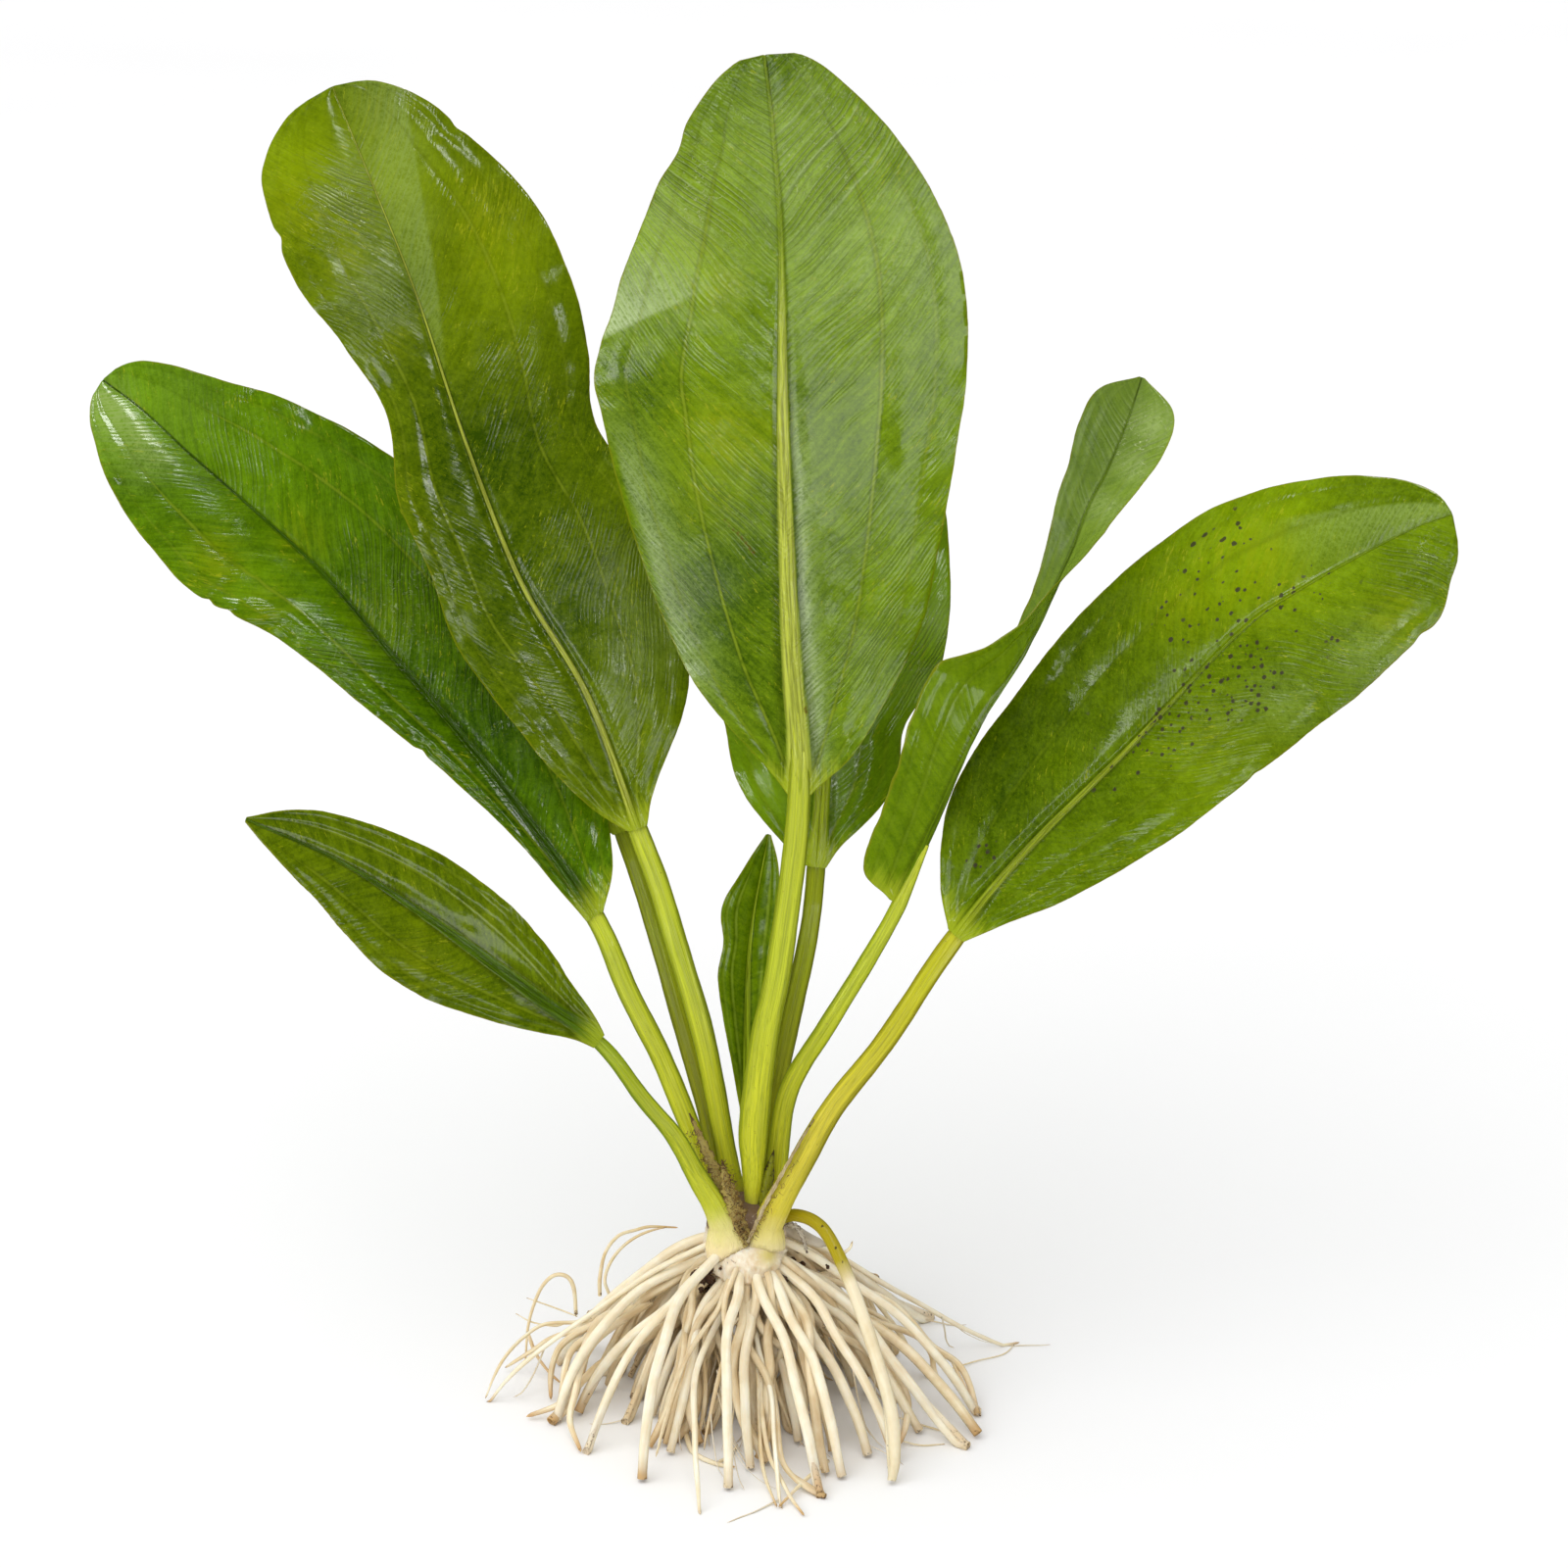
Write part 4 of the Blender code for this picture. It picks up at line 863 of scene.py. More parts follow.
def makeStem(name, leaf):
    s = stemSettings
    whole, split = bladeSpine(leaf)
    widths = smoothCurve([row[3:] for row in leaf["stalk"]])
    path = np.hstack([whole[:split + 1], widths])
    # on a little way under the blade, and down into the crown
    beyond = whole[split:split + 9]
    taper = np.linspace(1, 0.35, len(beyond))[:, None] * widths[-1]
    path = np.vstack([path, np.hstack([beyond, taper])[1:]])
    if leaf["fold"][0] > 0:
        back = np.interp(np.arange(len(path)) - split, (-5, 0, 8), (0, s["slip"], 0.6 * s["slip"]))
        path[:, :3] -= back[:, None] * unit(np.array(leaf["face"], float))
    foot = path[0].copy()
    foot[:3] += (-foot[0] * 0.25 - 0.3, -foot[1] * 0.25, -s["foot"])
    sheath = leaf.get("sheath", [foot])
    path = np.vstack([smoothCurve([*sheath, path[0]])[:-1], path])
    path = resample(path, np.linspace(0, runLengths(path)[-1], s["samples"]))
    fronts = np.tile(np.array(leaf["face"], float), (len(path), 1))
    seed = abs(leaf["stalk"][1][0]) + leaf["stalk"][1][2]

    def ridged(angle, share):
        ridges = np.cos(s["ridges"] * angle + ripple(share * 2, seed)) * np.clip(share * 5 - 0.3, 0.15, 1)
        channel = 1 - 0.2 * np.clip(np.sin(angle), 0, 1)**4 * np.clip(share * 3 - 0.3, 0, 1)
        return (1 + s["ridgeDepth"] * ridges) * channel * (1 + 0.02 * ripple(share * 6, seed))

    shape = stick(s["sides"], s["rings"])
    place, share = bendStick(shape, path[:, :3], path[:, 3], fronts, s["depth"], ridged)
    frayed = share * 0
    if "lip" in leaf:
        # below its lip the sheath tucks into the crown
        lip = np.array(leaf["lip"]).T
        points = vertexArray(shape) / mm
        below = np.clip((np.interp(points[:, 0], *lip) + s["lip"] - points[:, 2]) / s["lip"], 0, 1)
        below = below * below * (3 - 2 * below)
        reach = np.hypot(points[:, 0] - crownSettings["x"], points[:, 1])
        room = np.interp(points[:, 2], *np.array(crownSettings["profile"]).T) - s["tuck"]
        pull = 1 - below * np.clip(1 - room / np.maximum(reach, 0.1), 0, 1)
        points[:, 0] = crownSettings["x"] + (points[:, 0] - crownSettings["x"]) * pull
        points[:, 1] *= pull
        placeVerts(shape, points)
        above = points[:, 2] - np.interp(points[:, 0], *lip) - 0.8 * s["lip"]
        frayed = leaf["frayed"] * np.exp(-(above / 0.6)**2)
    # painted shade: how far each point lies to the side of the stalk, darkened in the pattern
    sideShade = np.abs(place[:, 0]) / np.maximum(np.hypot(place[:, 0], place[:, 1]), 0.01)
    meshPiece("stalk_" + name + "_fine", shape, "stalk_" + name, "stalk", stemFinish(leaf["stem"]), 70,
              place=place, marks=np.column_stack([sideShade, share, frayed]))


for leafName, leafShape in leaves.items():
    makeBlade("blade_" + leafName, leafShape)
    makeStem(leafName, leafShape)
print("leaves done")


# crown

def nearPath(points, path, spread=0.0):
    # distance of each point to a smooth line through the path
    line = smoothCurve(path, 8)
    gap = np.min([np.linalg.norm(points - spot, axis=1) for spot in line], axis=0)
    return np.maximum(gap - spread, 0)


def skinPatternGroup():
    # cream skin of the crown and roots: long soft streaks, brown dirt and tan ends
    tree, given, out = newGroup("creamSkin", {
        "Place": (0.0, 0.0, 0.0), "Light": (0.8, 0.8, 0.7, 1), "Warm": (0.7, 0.6, 0.4, 1), "Streaks": 0.05,
        "Dirt": 0.0, "Dirt Colour": (0.1, 0.06, 0.03, 1), "Tan": 0.0, "Tan Colour": (0.5, 0.3, 0.12, 1),
    }, {"Color": "Color", "Roughness": "Float", "Height": "Float"})
    place = channels(tree, given["Place"])
    drawn = vectorOf(tree, place[0], place[1], place[2] * given["Streaks"])
    streaks = fade(tree, noiseNode(tree, drawn, 1.7, 3.0, 0.6), 0.35, 0.65)
    cloud = fade(tree, noiseNode(tree, given["Place"], 0.16, 3.0, 0.6), 0.35, 0.65)
    warm = calc(tree, "ADD", streaks * 0.4, cloud * 0.5, clamp=True)
    colour = blendColour(tree, warm, given["Light"], given["Warm"])
    colour = blendColour(tree, given["Tan"], colour, given["Tan Colour"])
    grain = noiseNode(tree, given["Place"], 1.6, 4.0, 0.7)
    dirtLevel = grain + given["Dirt"] * 0.5 - 0.72
    dirt = fade(tree, dirtLevel, 0.0, 0.12, 0.0, 0.9)
    colour = blendColour(tree, dirt, colour, given["Dirt Colour"])
    fill(tree, colour, out["Color"])
    rough = 0.2 + streaks * 0.14 + dirt * 0.4
    fill(tree, rough, out["Roughness"])
    height = streaks * -0.6 + grain * 0.4
    fill(tree, height, out["Height"])
    return tree


skinPattern = skinPatternGroup()


def skinFinish(name, light, warm, streaks=0.05, dirt=rgb(78, 54, 34), tan=rgb(190, 148, 92), glow=0.2):
    made, tree, shader = newMaterial(name, IOR=1.42, Subsurface_Weight=glow, Subsurface_Scale=0.0012)
    shader.inputs["Subsurface Radius"].default_value = (1.0, 0.8, 0.5)
    marks = channels(tree, attributeNode(tree, "marks"))
    inputs = {"Place": attributeNode(tree, "place"), "Light": light, "Warm": warm, "Streaks": streaks,
              "Dirt": marks[0], "Dirt Colour": dirt, "Tan": marks[1], "Tan Colour": tan}
    wearPattern(tree, shader, skinPattern, inputs, 0.5, 0.00012)
    return made


# roots: where they run

rootSettings = {
    "width": 1.95,
    "levels": {"top": 30.6, "upper": 27.7, "lower": 24.8, "under": 21.9},
    "drop": 0.42,  # how steeply a root leaves the crown
    "clear": 0.95,
    "stand": 5,  # a root whose lay is no longer than this stands on its end
    "sink": 1.2,
    "press": 0.8,
    "sides": 16,
    "rings": 84,
    "wander": 1.1,
}

# azimuth on the crown, level, tip (x, y), push outwards, hang and lay before the tip, bow, width share
roots = {
    "root_front_left_cut": (230, "top", (-20, -38), 15, 24, 5, 1, 1.05),
    "root_front_long_thin": (244, "under", (-9, -50), 18, 12, 8, 3, 0.7),
    "root_front_cut": (262, "upper", (-4, -41), 8, 22, 5, 1, 1),
    "root_front_inner": (272, "lower", (0, -34), 8, 14, 5, 1, 0.95),
    "root_front_sweeping": (284, "upper", (13, -44), 9, 12, 8, -2, 1),
    "root_front_thin": (280, "under", (6, -48), 13, 5, 9, 0, 0.55),
    "root_front_right": (302, "upper", (17, -37), 11, 18, 5, 2, 1),
    "root_front_right_inner": (318, "lower", (22, -29), 10, 14, 5, 2, 1),
    "root_right_front": (321, "upper", (27, -31), 12, 16, 5, 1, 0.95),
    "root_right_low": (341, "upper", (41, -26), 15, 8, 9, 1, 1),
    "root_right_low_inner": (340, "lower", (32, -20), 12, 10, 5, 1, 0.95),
    "root_right": (352, "top", (44, -13), 16, 12, 6, 1, 0.9),
    "root_right_long_thin": (12, "top", (53, 16), 18, 3, 12, 2, 0.6),
    "root_right_inner": (5, "lower", (36, 2), 12, 8, 6, 0, 1),
    "root_back_right": (38, "upper", (36, 26), 13, 6, 8, 1, 1),
    "root_back_right_inner": (45, "lower", (24, 25), 10, 10, 5, 1, 0.95),
    "root_back_right_far": (60, "top", (25, 43), 15, 6, 10, 1, 1),
    "root_back": (84, "upper", (5, 44), 13, 8, 8, -1, 1),
    "root_back_inner": (90, "lower", (1, 33), 10, 10, 5, 0, 0.95),
    "root_back_far": (105, "top", (-12, 48), 15, 6, 10, -1, 0.9),
    "root_back_left": (128, "upper", (-22, 38), 13, 6, 8, -1, 1),
    "root_back_left_inner": (138, "lower", (-22, 24), 10, 10, 5, 0, 0.95),
    "root_back_left_far": (150, "upper", (-33, 27), 12, 6, 8, 1, 0.95),
    "root_left_thick": (172, "top", (-38, 7), 12, 9, 5, -1, 1.1),
    "root_left_long_thin": (196, "top", (-51, -8), 14, 12, 7, 1, 0.6),
    "root_left": (190, "upper", (-37, -16), 12, 18, 5, 2, 1),
    "root_left_inner": (165, "lower", (-37, 14), 12, 5, 8, 0, 0.8),
    "root_left_front": (212, "upper", (-31, -28), 12, 12, 6, 1, 0.85),
    "root_left_low": (205, "lower", (-33, -13), 10, 10, 5, 2, 1),
    "root_left_under": (180, "lower", (-30, 3), 9, 6, 7, 0, 0.9),
    "root_front_left_inner": (232, "lower", (-15, -28), 8, 12, 5, -1, 0.9),
    "root_under_front": (300, "under", (9, -24), 6, 10, 5, 1, 0.9),
    "root_under_back": (110, "under", (-8, 22), 6, 10, 5, 1, 0.9),
    "root_under_left": (215, "under", (-19, -14), 6, 9, 5, 1, 0.9),
    "root_under_right": (20, "under", (20, 8), 6, 9, 5, 1, 0.9),
}


def rootPath(azimuth, level, tip, push, hang, lay, bow):
    s = rootSettings
    height = s["levels"][level] if isinstance(level, str) else level
    outwards = np.array((math.cos(math.radians(azimuth)), math.sin(math.radians(azimuth)), 0))
    heights, radii = zip(*crownSettings["profile"])
    reach = np.interp(height, heights, radii) + s["clear"]
    start = np.array((crownSettings["x"], 0, height)) + outwards * reach
    end = np.array((*tip, 0.6 if lay <= s["stand"] else -s["sink"]))
    back = unit(np.array((start[0] - end[0], start[1] - end[1], 0)))
    sideways = np.array((-back[1], back[0], 0))
    first = start + outwards * push - np.array((0, 0, s["drop"] * push))
    last = end + back * lay + np.array((0, 0, hang)) + sideways * bow
    t = np.linspace(0, 1, 121)[:, None]
    path = (1 - t)**3 * start + 3 * (1 - t)**2 * t * first + 3 * (1 - t) * t**2 * last + t**3 * end
    within = start - outwards * 3 + np.array((0, 0, 0.8))
    return np.vstack([within, path]), sideways


def rootShape(path, width, seed, sides, rings, taper=0.8, cut=True, sideways=None, wander=0.0, lumpy=1.0):
    s = rootSettings
    share = np.linspace(0, 1, len(path))
    path = path.copy()
    if sideways is not None:
        swing = wander * np.sin(math.pi * share)
        path += sideways * (swing * ripple(share * 1.1, seed, ((1, 1.0), (2.1, 0.35))))[:, None]
        path[:, 2] += 0.6 * swing * ripple(share * 1.3, seed + 3, ((1, 1.0), (2.1, 0.3)))
    widths = width * np.interp(share, (0, 0.15, 0.8, 1), (0.92, 1, 1 if cut else 0.75, taper))
    path[:, 2] = np.maximum(path[:, 2], s["press"] * widths / 2)
    plan = path[-1] - path[0]
    across = np.cross(unit(plan * (1, 1, 0.001)), (0, 0, 1))
    fronts = np.cross(across, directionsOf(path))
    total = runLengths(path)[-1]

    def radial(angle, part):
        nearEnd = np.exp(-((1 - part) * total / 1.1)**2) * 0.08 * cut
        rounded = 1 if cut else np.sqrt(np.clip((1 - part) * total / (width * 0.5) + 0.02, 0.02, 1))
        lumps = 0.025 * lumpy * ripple(part * total / 19, seed) + 0.02 * np.cos(3 * angle + seed + part * 9)
        return (1 + nearEnd + lumps + 0.014 * np.cos(9 * angle + seed)) * rounded

    shape = stick(sides, rings, 0.28 if cut else False)
    place, part = bendStick(shape, path, widths, fronts, 1.0, radial, floor=True)
    fromEnd = (1 - part) * total
    return shape, place + (seed * 7 % 50, 0, 0), part, fromEnd


def rootMarks(part, fromEnd, seed, tanLength=2.6, dirt=0.0, tanLevel=0.85):
    tan = np.exp(-(fromEnd / tanLength)**2) * tanLevel
    foot = np.clip(1 - part * 14, 0, 1) * 0.5
    return np.column_stack([np.clip(foot + dirt + 0.45 * np.exp(-(fromEnd / 1.0)**2), 0, 1), tan,
                            np.full(len(part), seed)])


rootFinish = skinFinish("root_skin", rgb(250, 243, 222), rgb(232, 214, 176))
innerFinish = skinFinish("inner_root_skin", rgb(240, 226, 194), rgb(206, 178, 130))
thinFinish = skinFinish("thin_root_skin", rgb(246, 234, 206), rgb(216, 190, 142), glow=0.3)
hairFinish = skinFinish("root_hair_skin", rgb(236, 226, 206), rgb(210, 190, 156), glow=0.3)

rootStarts = []
for index, (rootName, row) in enumerate(roots.items()):
    *route, share = row
    path, sideways = rootPath(*route)
    rootStarts.append(path[0] * 0.35 + path[1] * 0.65)
    standing = row[5] <= rootSettings["stand"]
    thin = share < 0.75
    shape, place, part, fromEnd = rootShape(
        path, rootSettings["width"] * share, index * 1.37, rootSettings["sides"], rootSettings["rings"],
        0.85 if not thin else 0.35, not thin, sideways, rootSettings["wander"])
    marks = rootMarks(part, fromEnd, index, 2.6 if standing else 2.0, 0, 0.85 if index % 4 == 0 else 0.4)
    meshPiece(rootName + "_fine", shape, rootName, "root", rootFinish, 60, place=place, marks=marks)
print("main roots done")


# crown, with a collar round each root

def makeCrown():
    s = crownSettings
    shape = stick(s["sides"], s["rings"])
    verts = vertexArray(shape)
    share = np.clip(verts[:, 2] + 0.5, 0, 1)
    heights, radii = np.array(s["profile"]).T
    runs = np.concatenate([[0], np.cumsum(np.hypot(np.diff(heights), np.diff(radii)))])
    radius = np.interp(share, runs / runs[-1], radii)
    height = np.interp(share, runs / runs[-1], heights)
    angle = np.arctan2(verts[:, 1], verts[:, 0])
    reach = np.hypot(verts[:, 0], verts[:, 1])
    ring = reach * radius
    points = np.column_stack([s["x"] + ring * np.cos(angle), ring * np.sin(angle), height])
    outwards = unit(np.column_stack([np.cos(angle), np.sin(angle), (height - 29) / 14]))
    relief = s["lump"] * noiseAt(points, 0.22, 4.0) + 0.12 * noiseAt(points, 0.7, 9.0)
    for spot, size, rises in s["swellings"]:
        relief += rises * np.exp(-(np.linalg.norm(points - spot, axis=1) / size)**2)
    for start in rootStarts:
        gap = np.linalg.norm(points - start, axis=1)
        relief += 0.35 * np.exp(-((gap - 1.7) / 0.5)**2)
    crack = nearPath(points, s["crack"], 0.12)
    sideCrack = nearPath(points, s["sideCrack"], 0.05)
    relief -= 0.5 * np.exp(-(crack / 0.35)**2) + 0.12 * np.exp(-(sideCrack / 0.25)**2)
    points += outwards * relief[:, None]
    placeVerts(shape, points)
    # the crown is darker below 22 mm and above 33.4 mm, and in a ring round each root, besides the cracks and
    # grubby spots
    lower = np.clip((22 - points[:, 2]) / 4, 0, 1) * 0.5 + np.clip((points[:, 2] - 33.4) / 1.2, 0, 1) * 0.9
    collars = np.max([np.exp(-((np.linalg.norm(points - start, axis=1) - 1.3) / 0.3)**2)
                      for start in rootStarts], axis=0)
    dirt = 1.2 * np.exp(-(crack / 0.7)**2) + 0.8 * np.exp(-(sideCrack / 0.16)**2) + lower + 0.25 * collars
    for spot, size in s["grubby"]:
        dirt += 0.9 * np.exp(-(np.linalg.norm(points - spot, axis=1) / size)**2)
    spot, size = s["yellow"]
    yellow = np.exp(-(np.linalg.norm(points - spot, axis=1) / size)**2) * 0.8
    meshPiece("crown_fine", shape, "crown", "crown", crownFinish, 80,
              place=points, marks=np.column_stack([np.clip(dirt, 0, 1.2), yellow, yellow * 0]))


crownFinish = skinFinish("crown_skin", rgb(248, 240, 220), rgb(216, 188, 144), 0.3, rgb(92, 62, 34),
                         rgb(206, 190, 80), 0.3)
makeCrown()
print("crown done")


# thinner roots, strands and hairs between and beside the main ones

strands = {
    # free paths in mm, width, and whether the tip is brown
    "root_loop_left": ([(-34.3, 7, 11.1), (-34.6, 7.5, 16.2), (-35.8, 8, 18.7), (-38.4, 8, 19.1),
                        (-40.9, 7.5, 16.8), (-42.8, 7, 12.2), (-43.8, 6, 7.8), (-44.2, 4, 1.6)], 0.85, 1),
    "root_loop_high": ([(-29.6, 7, 15.2), (-29.5, 7, 19.2), (-28.4, 8, 24), (-25.9, 9, 27.1),
                        (-22.6, 9.5, 28.1), (-19.6, 10, 28.6), (-14.3, 10, 28.4)], 0.8, 1),
    "loop_twin": ([(-27.6, 6, 15.7), (-28.5, 6, 18.9), (-27.6, 6.5, 22.2), (-25.5, 7.5, 25), (-22.6, 8.5, 27),
                   (-19.6, 9, 28.2), (-16.4, 9.5, 28.8)], 0.7, 1),
    "brown_tip": ([(-43.8, 6, 7.8), (-42, 3, 4.5), (-39.4, 0.5, 2), (-37, -1.5, 0.6)], 0.75, 3),
    "left_thin": ([(-24.1, 3, 12.4), (-29.1, 3, 11.1), (-38.3, 3, 8.3), (-42.7, 3, 5.3), (-48.2, 4, 1)], 1.2,
                  0),
    "left_far": ([(-31, 4, 12.1), (-33.9, 4, 11), (-40, 3, 11.1), (-43.7, 1, 9.7), (-47.1, -3, 7.8),
                  (-49.4, -6, 4.9), (-51.2, -8, 0.8)], 0.8, 0),
    "left_hair": ([(-34, 6, 11.2), (-38.6, 7, 12.6), (-44, 8, 14.2)], 0.35, 0),
    "left_hair_low": ([(-36.1, 6, 9.9), (-38.4, 6, 9.1), (-42.9, 7, 9.4), (-46.2, 8, 10.8)], 0.4, 0),
    "left_bunch_a": ([(-22.2, 2, 15), (-31.9, 0, 11.8), (-36.2, -2, 9.7), (-37.9, -4, 7.6), (-38.7, -5, 3.9),
                      (-38.6, -8, 0.6)], 1.5, 1),
    "left_bunch_b": ([(-24, 1, 13.4), (-30.4, -2, 11.4), (-33.9, -4, 9.9), (-35.6, -7, 7.5), (-36.8, -12, 1)],
                     1.7, 1),
    "left_bunch_c": ([(-22.1, 0, 16.1), (-28.8, -2, 14.6), (-31.6, -6, 11), (-33, -9, 6.6), (-34.7, -13, 2.8),
                      (-38.1, -17, 0.8)], 2.2, 2),
    "left_bunch_d": ([(-19.3, -2, 18.6), (-28.6, -7, 14.1), (-32.1, -11, 10.5), (-33.4, -16, 6.4),
                      (-34.2, -21, 3.2), (-31.8, -28, 0.6)], 1.7, 1),
    "left_bunch_e": ([(-14.4, -4, 16.1), (-19.3, -6, 13.5), (-23.7, -8, 11.4), (-28.6, -9, 9),
                      (-32.1, -11, 6.5), (-36.3, -14, 3.1), (-42.9, -15, 0.8)], 1.9, 1),
    "front_left_thin": ([(-9.4, -8, 18.2), (-11.2, -14, 16.1), (-13.3, -18, 12.2), (-15.4, -20, 7.5),
                         (-16.5, -22, 3.4), (-16.6, -23, 0.6)], 1.1, 2),
    "front_left_mid": ([(-5.9, -6, 17.1), (-10.1, -14, 13), (-11.8, -20, 10.6), (-11.4, -24, 7),
                        (-9.7, -25, 0.8)], 1.9, 2),
    "floor_curl": ([(-12.4, -22, 2), (-11.2, -27, 0.6), (-9.2, -30, 0.5), (-6, -32.4, 0.5),
                    (-2.8, -33.5, 0.5)], 1.1, 0),
    "floor_curl_back": ([(-6.2, -32.2, 0.6), (-4, -29.5, 0.5), (-2.4, -25, 0.5)], 0.7, 0),
    "right_upper": ([(11.2, 4, 21.6), (18.1, 3, 19.6), (25.8, 1, 17.6), (30.5, -1, 14.3), (34.7, -3, 9.7),
                     (39.6, -6, 7.4), (41.9, -9, 4.4), (43.2, -14, 0.8)], 1.3, 2),
    "right_short": ([(15.7, 0, 19.2), (22, -1, 16.4), (26.7, -1, 13.4), (29.8, -1.5, 9.2), (31, -3, 6)], 1.0,
                    0),
    "right_mid": ([(21.4, -4, 16.1), (26.1, -4, 14.6), (31.9, -5, 12.6), (34.5, -7, 10.1), (35.2, -10, 7.5),
                   (37.4, -14, 4.9), (42.2, -19, 1)], 1.3, 1),
    "right_thick": ([(6, -4, 25.5), (11.9, -5, 21.8), (23.3, -8, 16.7), (29.5, -11, 13.2), (34.3, -14, 9.2),
                     (38.8, -18, 5.4), (43, -22, 1.1)], 2.1, 2),
    "right_inner": ([(14, -8, 17), (24.1, -10, 10.8), (27.9, -12, 7.7), (29.8, -16, 4.7), (29.3, -22, 2.9),
                     (28, -26, 0.9)], 1.8, 1),
    "front_low_a": ([(1.2, -16, 17), (1.5, -22, 12.2), (1.7, -28, 7.2), (2.1, -34, 3.4), (2.9, -40, 1.8),
                     (5, -48, 0.5)], 0.9, 1),
    "front_low_b": ([(2, -21, 13), (2.3, -28, 7.8), (3.6, -35, 3.8), (5.8, -41, 2.2), (7.6, -46, 1.2),
                     (10, -51, 0.5)], 0.95, 1),
    "front_cross": ([(14.5, -33, 1.5), (10.3, -40, 1.6), (7.6, -44.5, 1.2), (5.3, -48, 0.5)], 0.8, 1),
    "front_low_c": ([(3.6, -20, 14), (4.8, -28, 9.2), (5.8, -36, 4), (8.3, -40, 1.9), (11.7, -43, 0.9),
                     (13.9, -44.4, 0.7)], 1.1, 2),
    "floor_hair_a": ([(28, -16, 1.2), (33, -18, 0.5), (36.9, -20, 0.2), (40.5, -25, 0.2)], 0.4, 0),
    "floor_hair_b": ([(28, -24, 0.8), (32, -25, 0.3), (36.7, -24.4, 0.2)], 0.35, 0),
    "floor_hair_c": ([(38, 3, 1), (44, 8, 0.3), (49.5, 11, 0.2), (52, 15, 0.3)], 0.3, 0),
}

extraSettings = {
    "seed": 7,
    # how many, reach over the floor, widths, start height and push outwards, all in mm;
    # sides and rings of the mesh
    "inner": {"count": 74, "reach": (17, 37), "widths": (1.1, 1.5, 1.9, 2.1), "start": (20.5, 29.5),
              "push": (6, 13), "sides": 12, "rings": 48, "wander": 1.6},
    "core": {"count": 90, "reach": (7, 27), "widths": (0.5, 0.7, 0.9, 1.3), "start": (19.2, 24.5),
             "push": (2, 9), "sides": 8, "rings": 34, "wander": 2.2},
    "sides": 10,
    "hairs": 90,
    "hairSides": 5,
    "hairRings": 16,
}


def gatherPiece(name, rows, slot, finish, sharp):
    # one piece from rows of a shape, its places and its marks, in order
    shapes, places, marks = zip(*rows)
    whole = bmesh.new()
    for shape in shapes:
        mesh = bpy.data.meshes.new("part")
        shape.to_mesh(mesh)
        shape.free()
        whole.from_mesh(mesh)
        bpy.data.meshes.remove(mesh)
    meshPiece(name, whole, None, slot, finish, sharp, place=np.vstack(places), marks=np.vstack(marks))


def makeStrands():
    s = extraSettings
    for index, (name, (points, width, tip)) in enumerate(strands.items()):
        path = smoothCurve(points)
        seed = 40 + index * 1.7
        blunt = tip == 2
        knobbly = 2.5 if width < 1.3 else 1.2
        shape, place, part, fromEnd = rootShape(path, width, seed, s["sides"], 64, 0.85 if blunt else 0.4,
                                                blunt, lumpy=knobbly)
        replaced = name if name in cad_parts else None
        marks = rootMarks(part, fromEnd, index, (0.6, 3.0, 3.2, 9.0)[tip], 0.1 if width < 1.3 else 0.0)
        meshPiece(name + "_strand", shape, replaced, "root", thinFinish, 60, place=place, marks=marks)


def makeExtraRoots(name, s):
    rng = np.random.default_rng(extraSettings["seed"] + s["count"])
    rows, paths = [], []
    for index in range(s["count"]):
        azimuth = 360 * (index + rng.uniform(-0.4, 0.4)) / s["count"]
        angle = math.radians(azimuth)
        # the roots spread a little less to the left and more to the right, as the main ones do
        reach = rng.uniform(*s["reach"]) * (1 + 0.08 * math.cos(angle))
        turned = angle + rng.uniform(-0.42, 0.42)
        tip = (reach * math.cos(turned) - 1, reach * math.sin(turned))
        width = rng.choice(s["widths"])
        path, sideways = rootPath(azimuth, rng.uniform(*s["start"]), tip, rng.uniform(*s["push"]),
                                  rng.uniform(5, 15), rng.choice([2, 4, 5, 7]), rng.uniform(-8, 8))
        blunt = width > 1.2
        shape, place, part, fromEnd = rootShape(path, width, 90 + index * 2.3, s["sides"], s["rings"],
                                                0.8 if blunt else 0.3, blunt, sideways, s["wander"])
        marks = rootMarks(part, fromEnd, index, rng.uniform(1, 3.2), rng.choice([0, 0.08]),
                          rng.uniform(0.2, 0.8))
        rows.append((shape, place, marks))
        paths.append(path)
    gatherPiece(name, rows, "root", innerFinish, 60)
    return paths


def makeHairs(paths):
    s = extraSettings
    rng = np.random.default_rng(s["seed"] + 1)
    rows = []
    for index in range(s["hairs"]):
        path = paths[rng.integers(len(paths))]
        start = path[rng.integers(50, 116)]
        heading = math.atan2(start[1], start[0]) + rng.uniform(-1.1, 1.1)
        length = rng.uniform(4, 13)
        level = max(start[2], 0.3)
        points = [start]
        for step in range(1, 5):
            heading += rng.uniform(-0.45, 0.45)
            flat = points[-1] + np.array((math.cos(heading), math.sin(heading), 0)) * length / 4
            flat[2] = max(level * (1 - step / 4)**1.6, 0.12 + 0.1 * rng.random())
            points.append(flat)
        width = rng.uniform(0.16, 0.4)
        shape, place, part, fromEnd = rootShape(smoothCurve(points, 6), width, 300 + index, s["hairSides"],
                                                s["hairRings"], 0.3, False)
        rows.append((shape, place, rootMarks(part, fromEnd, index, 0.8)))
    gatherPiece("root_hairs", rows, "root", hairFinish, 80)


makeStrands()
extraPaths = makeExtraRoots("inner_roots", extraSettings["inner"])
makeExtraRoots("core_roots", extraSettings["core"])
makeHairs(extraPaths + [rootPath(*row[:7])[0] for row in roots.values()])
print("thin roots and hairs done")


# old shoot, withered root, dry sheaths, fibres and soil

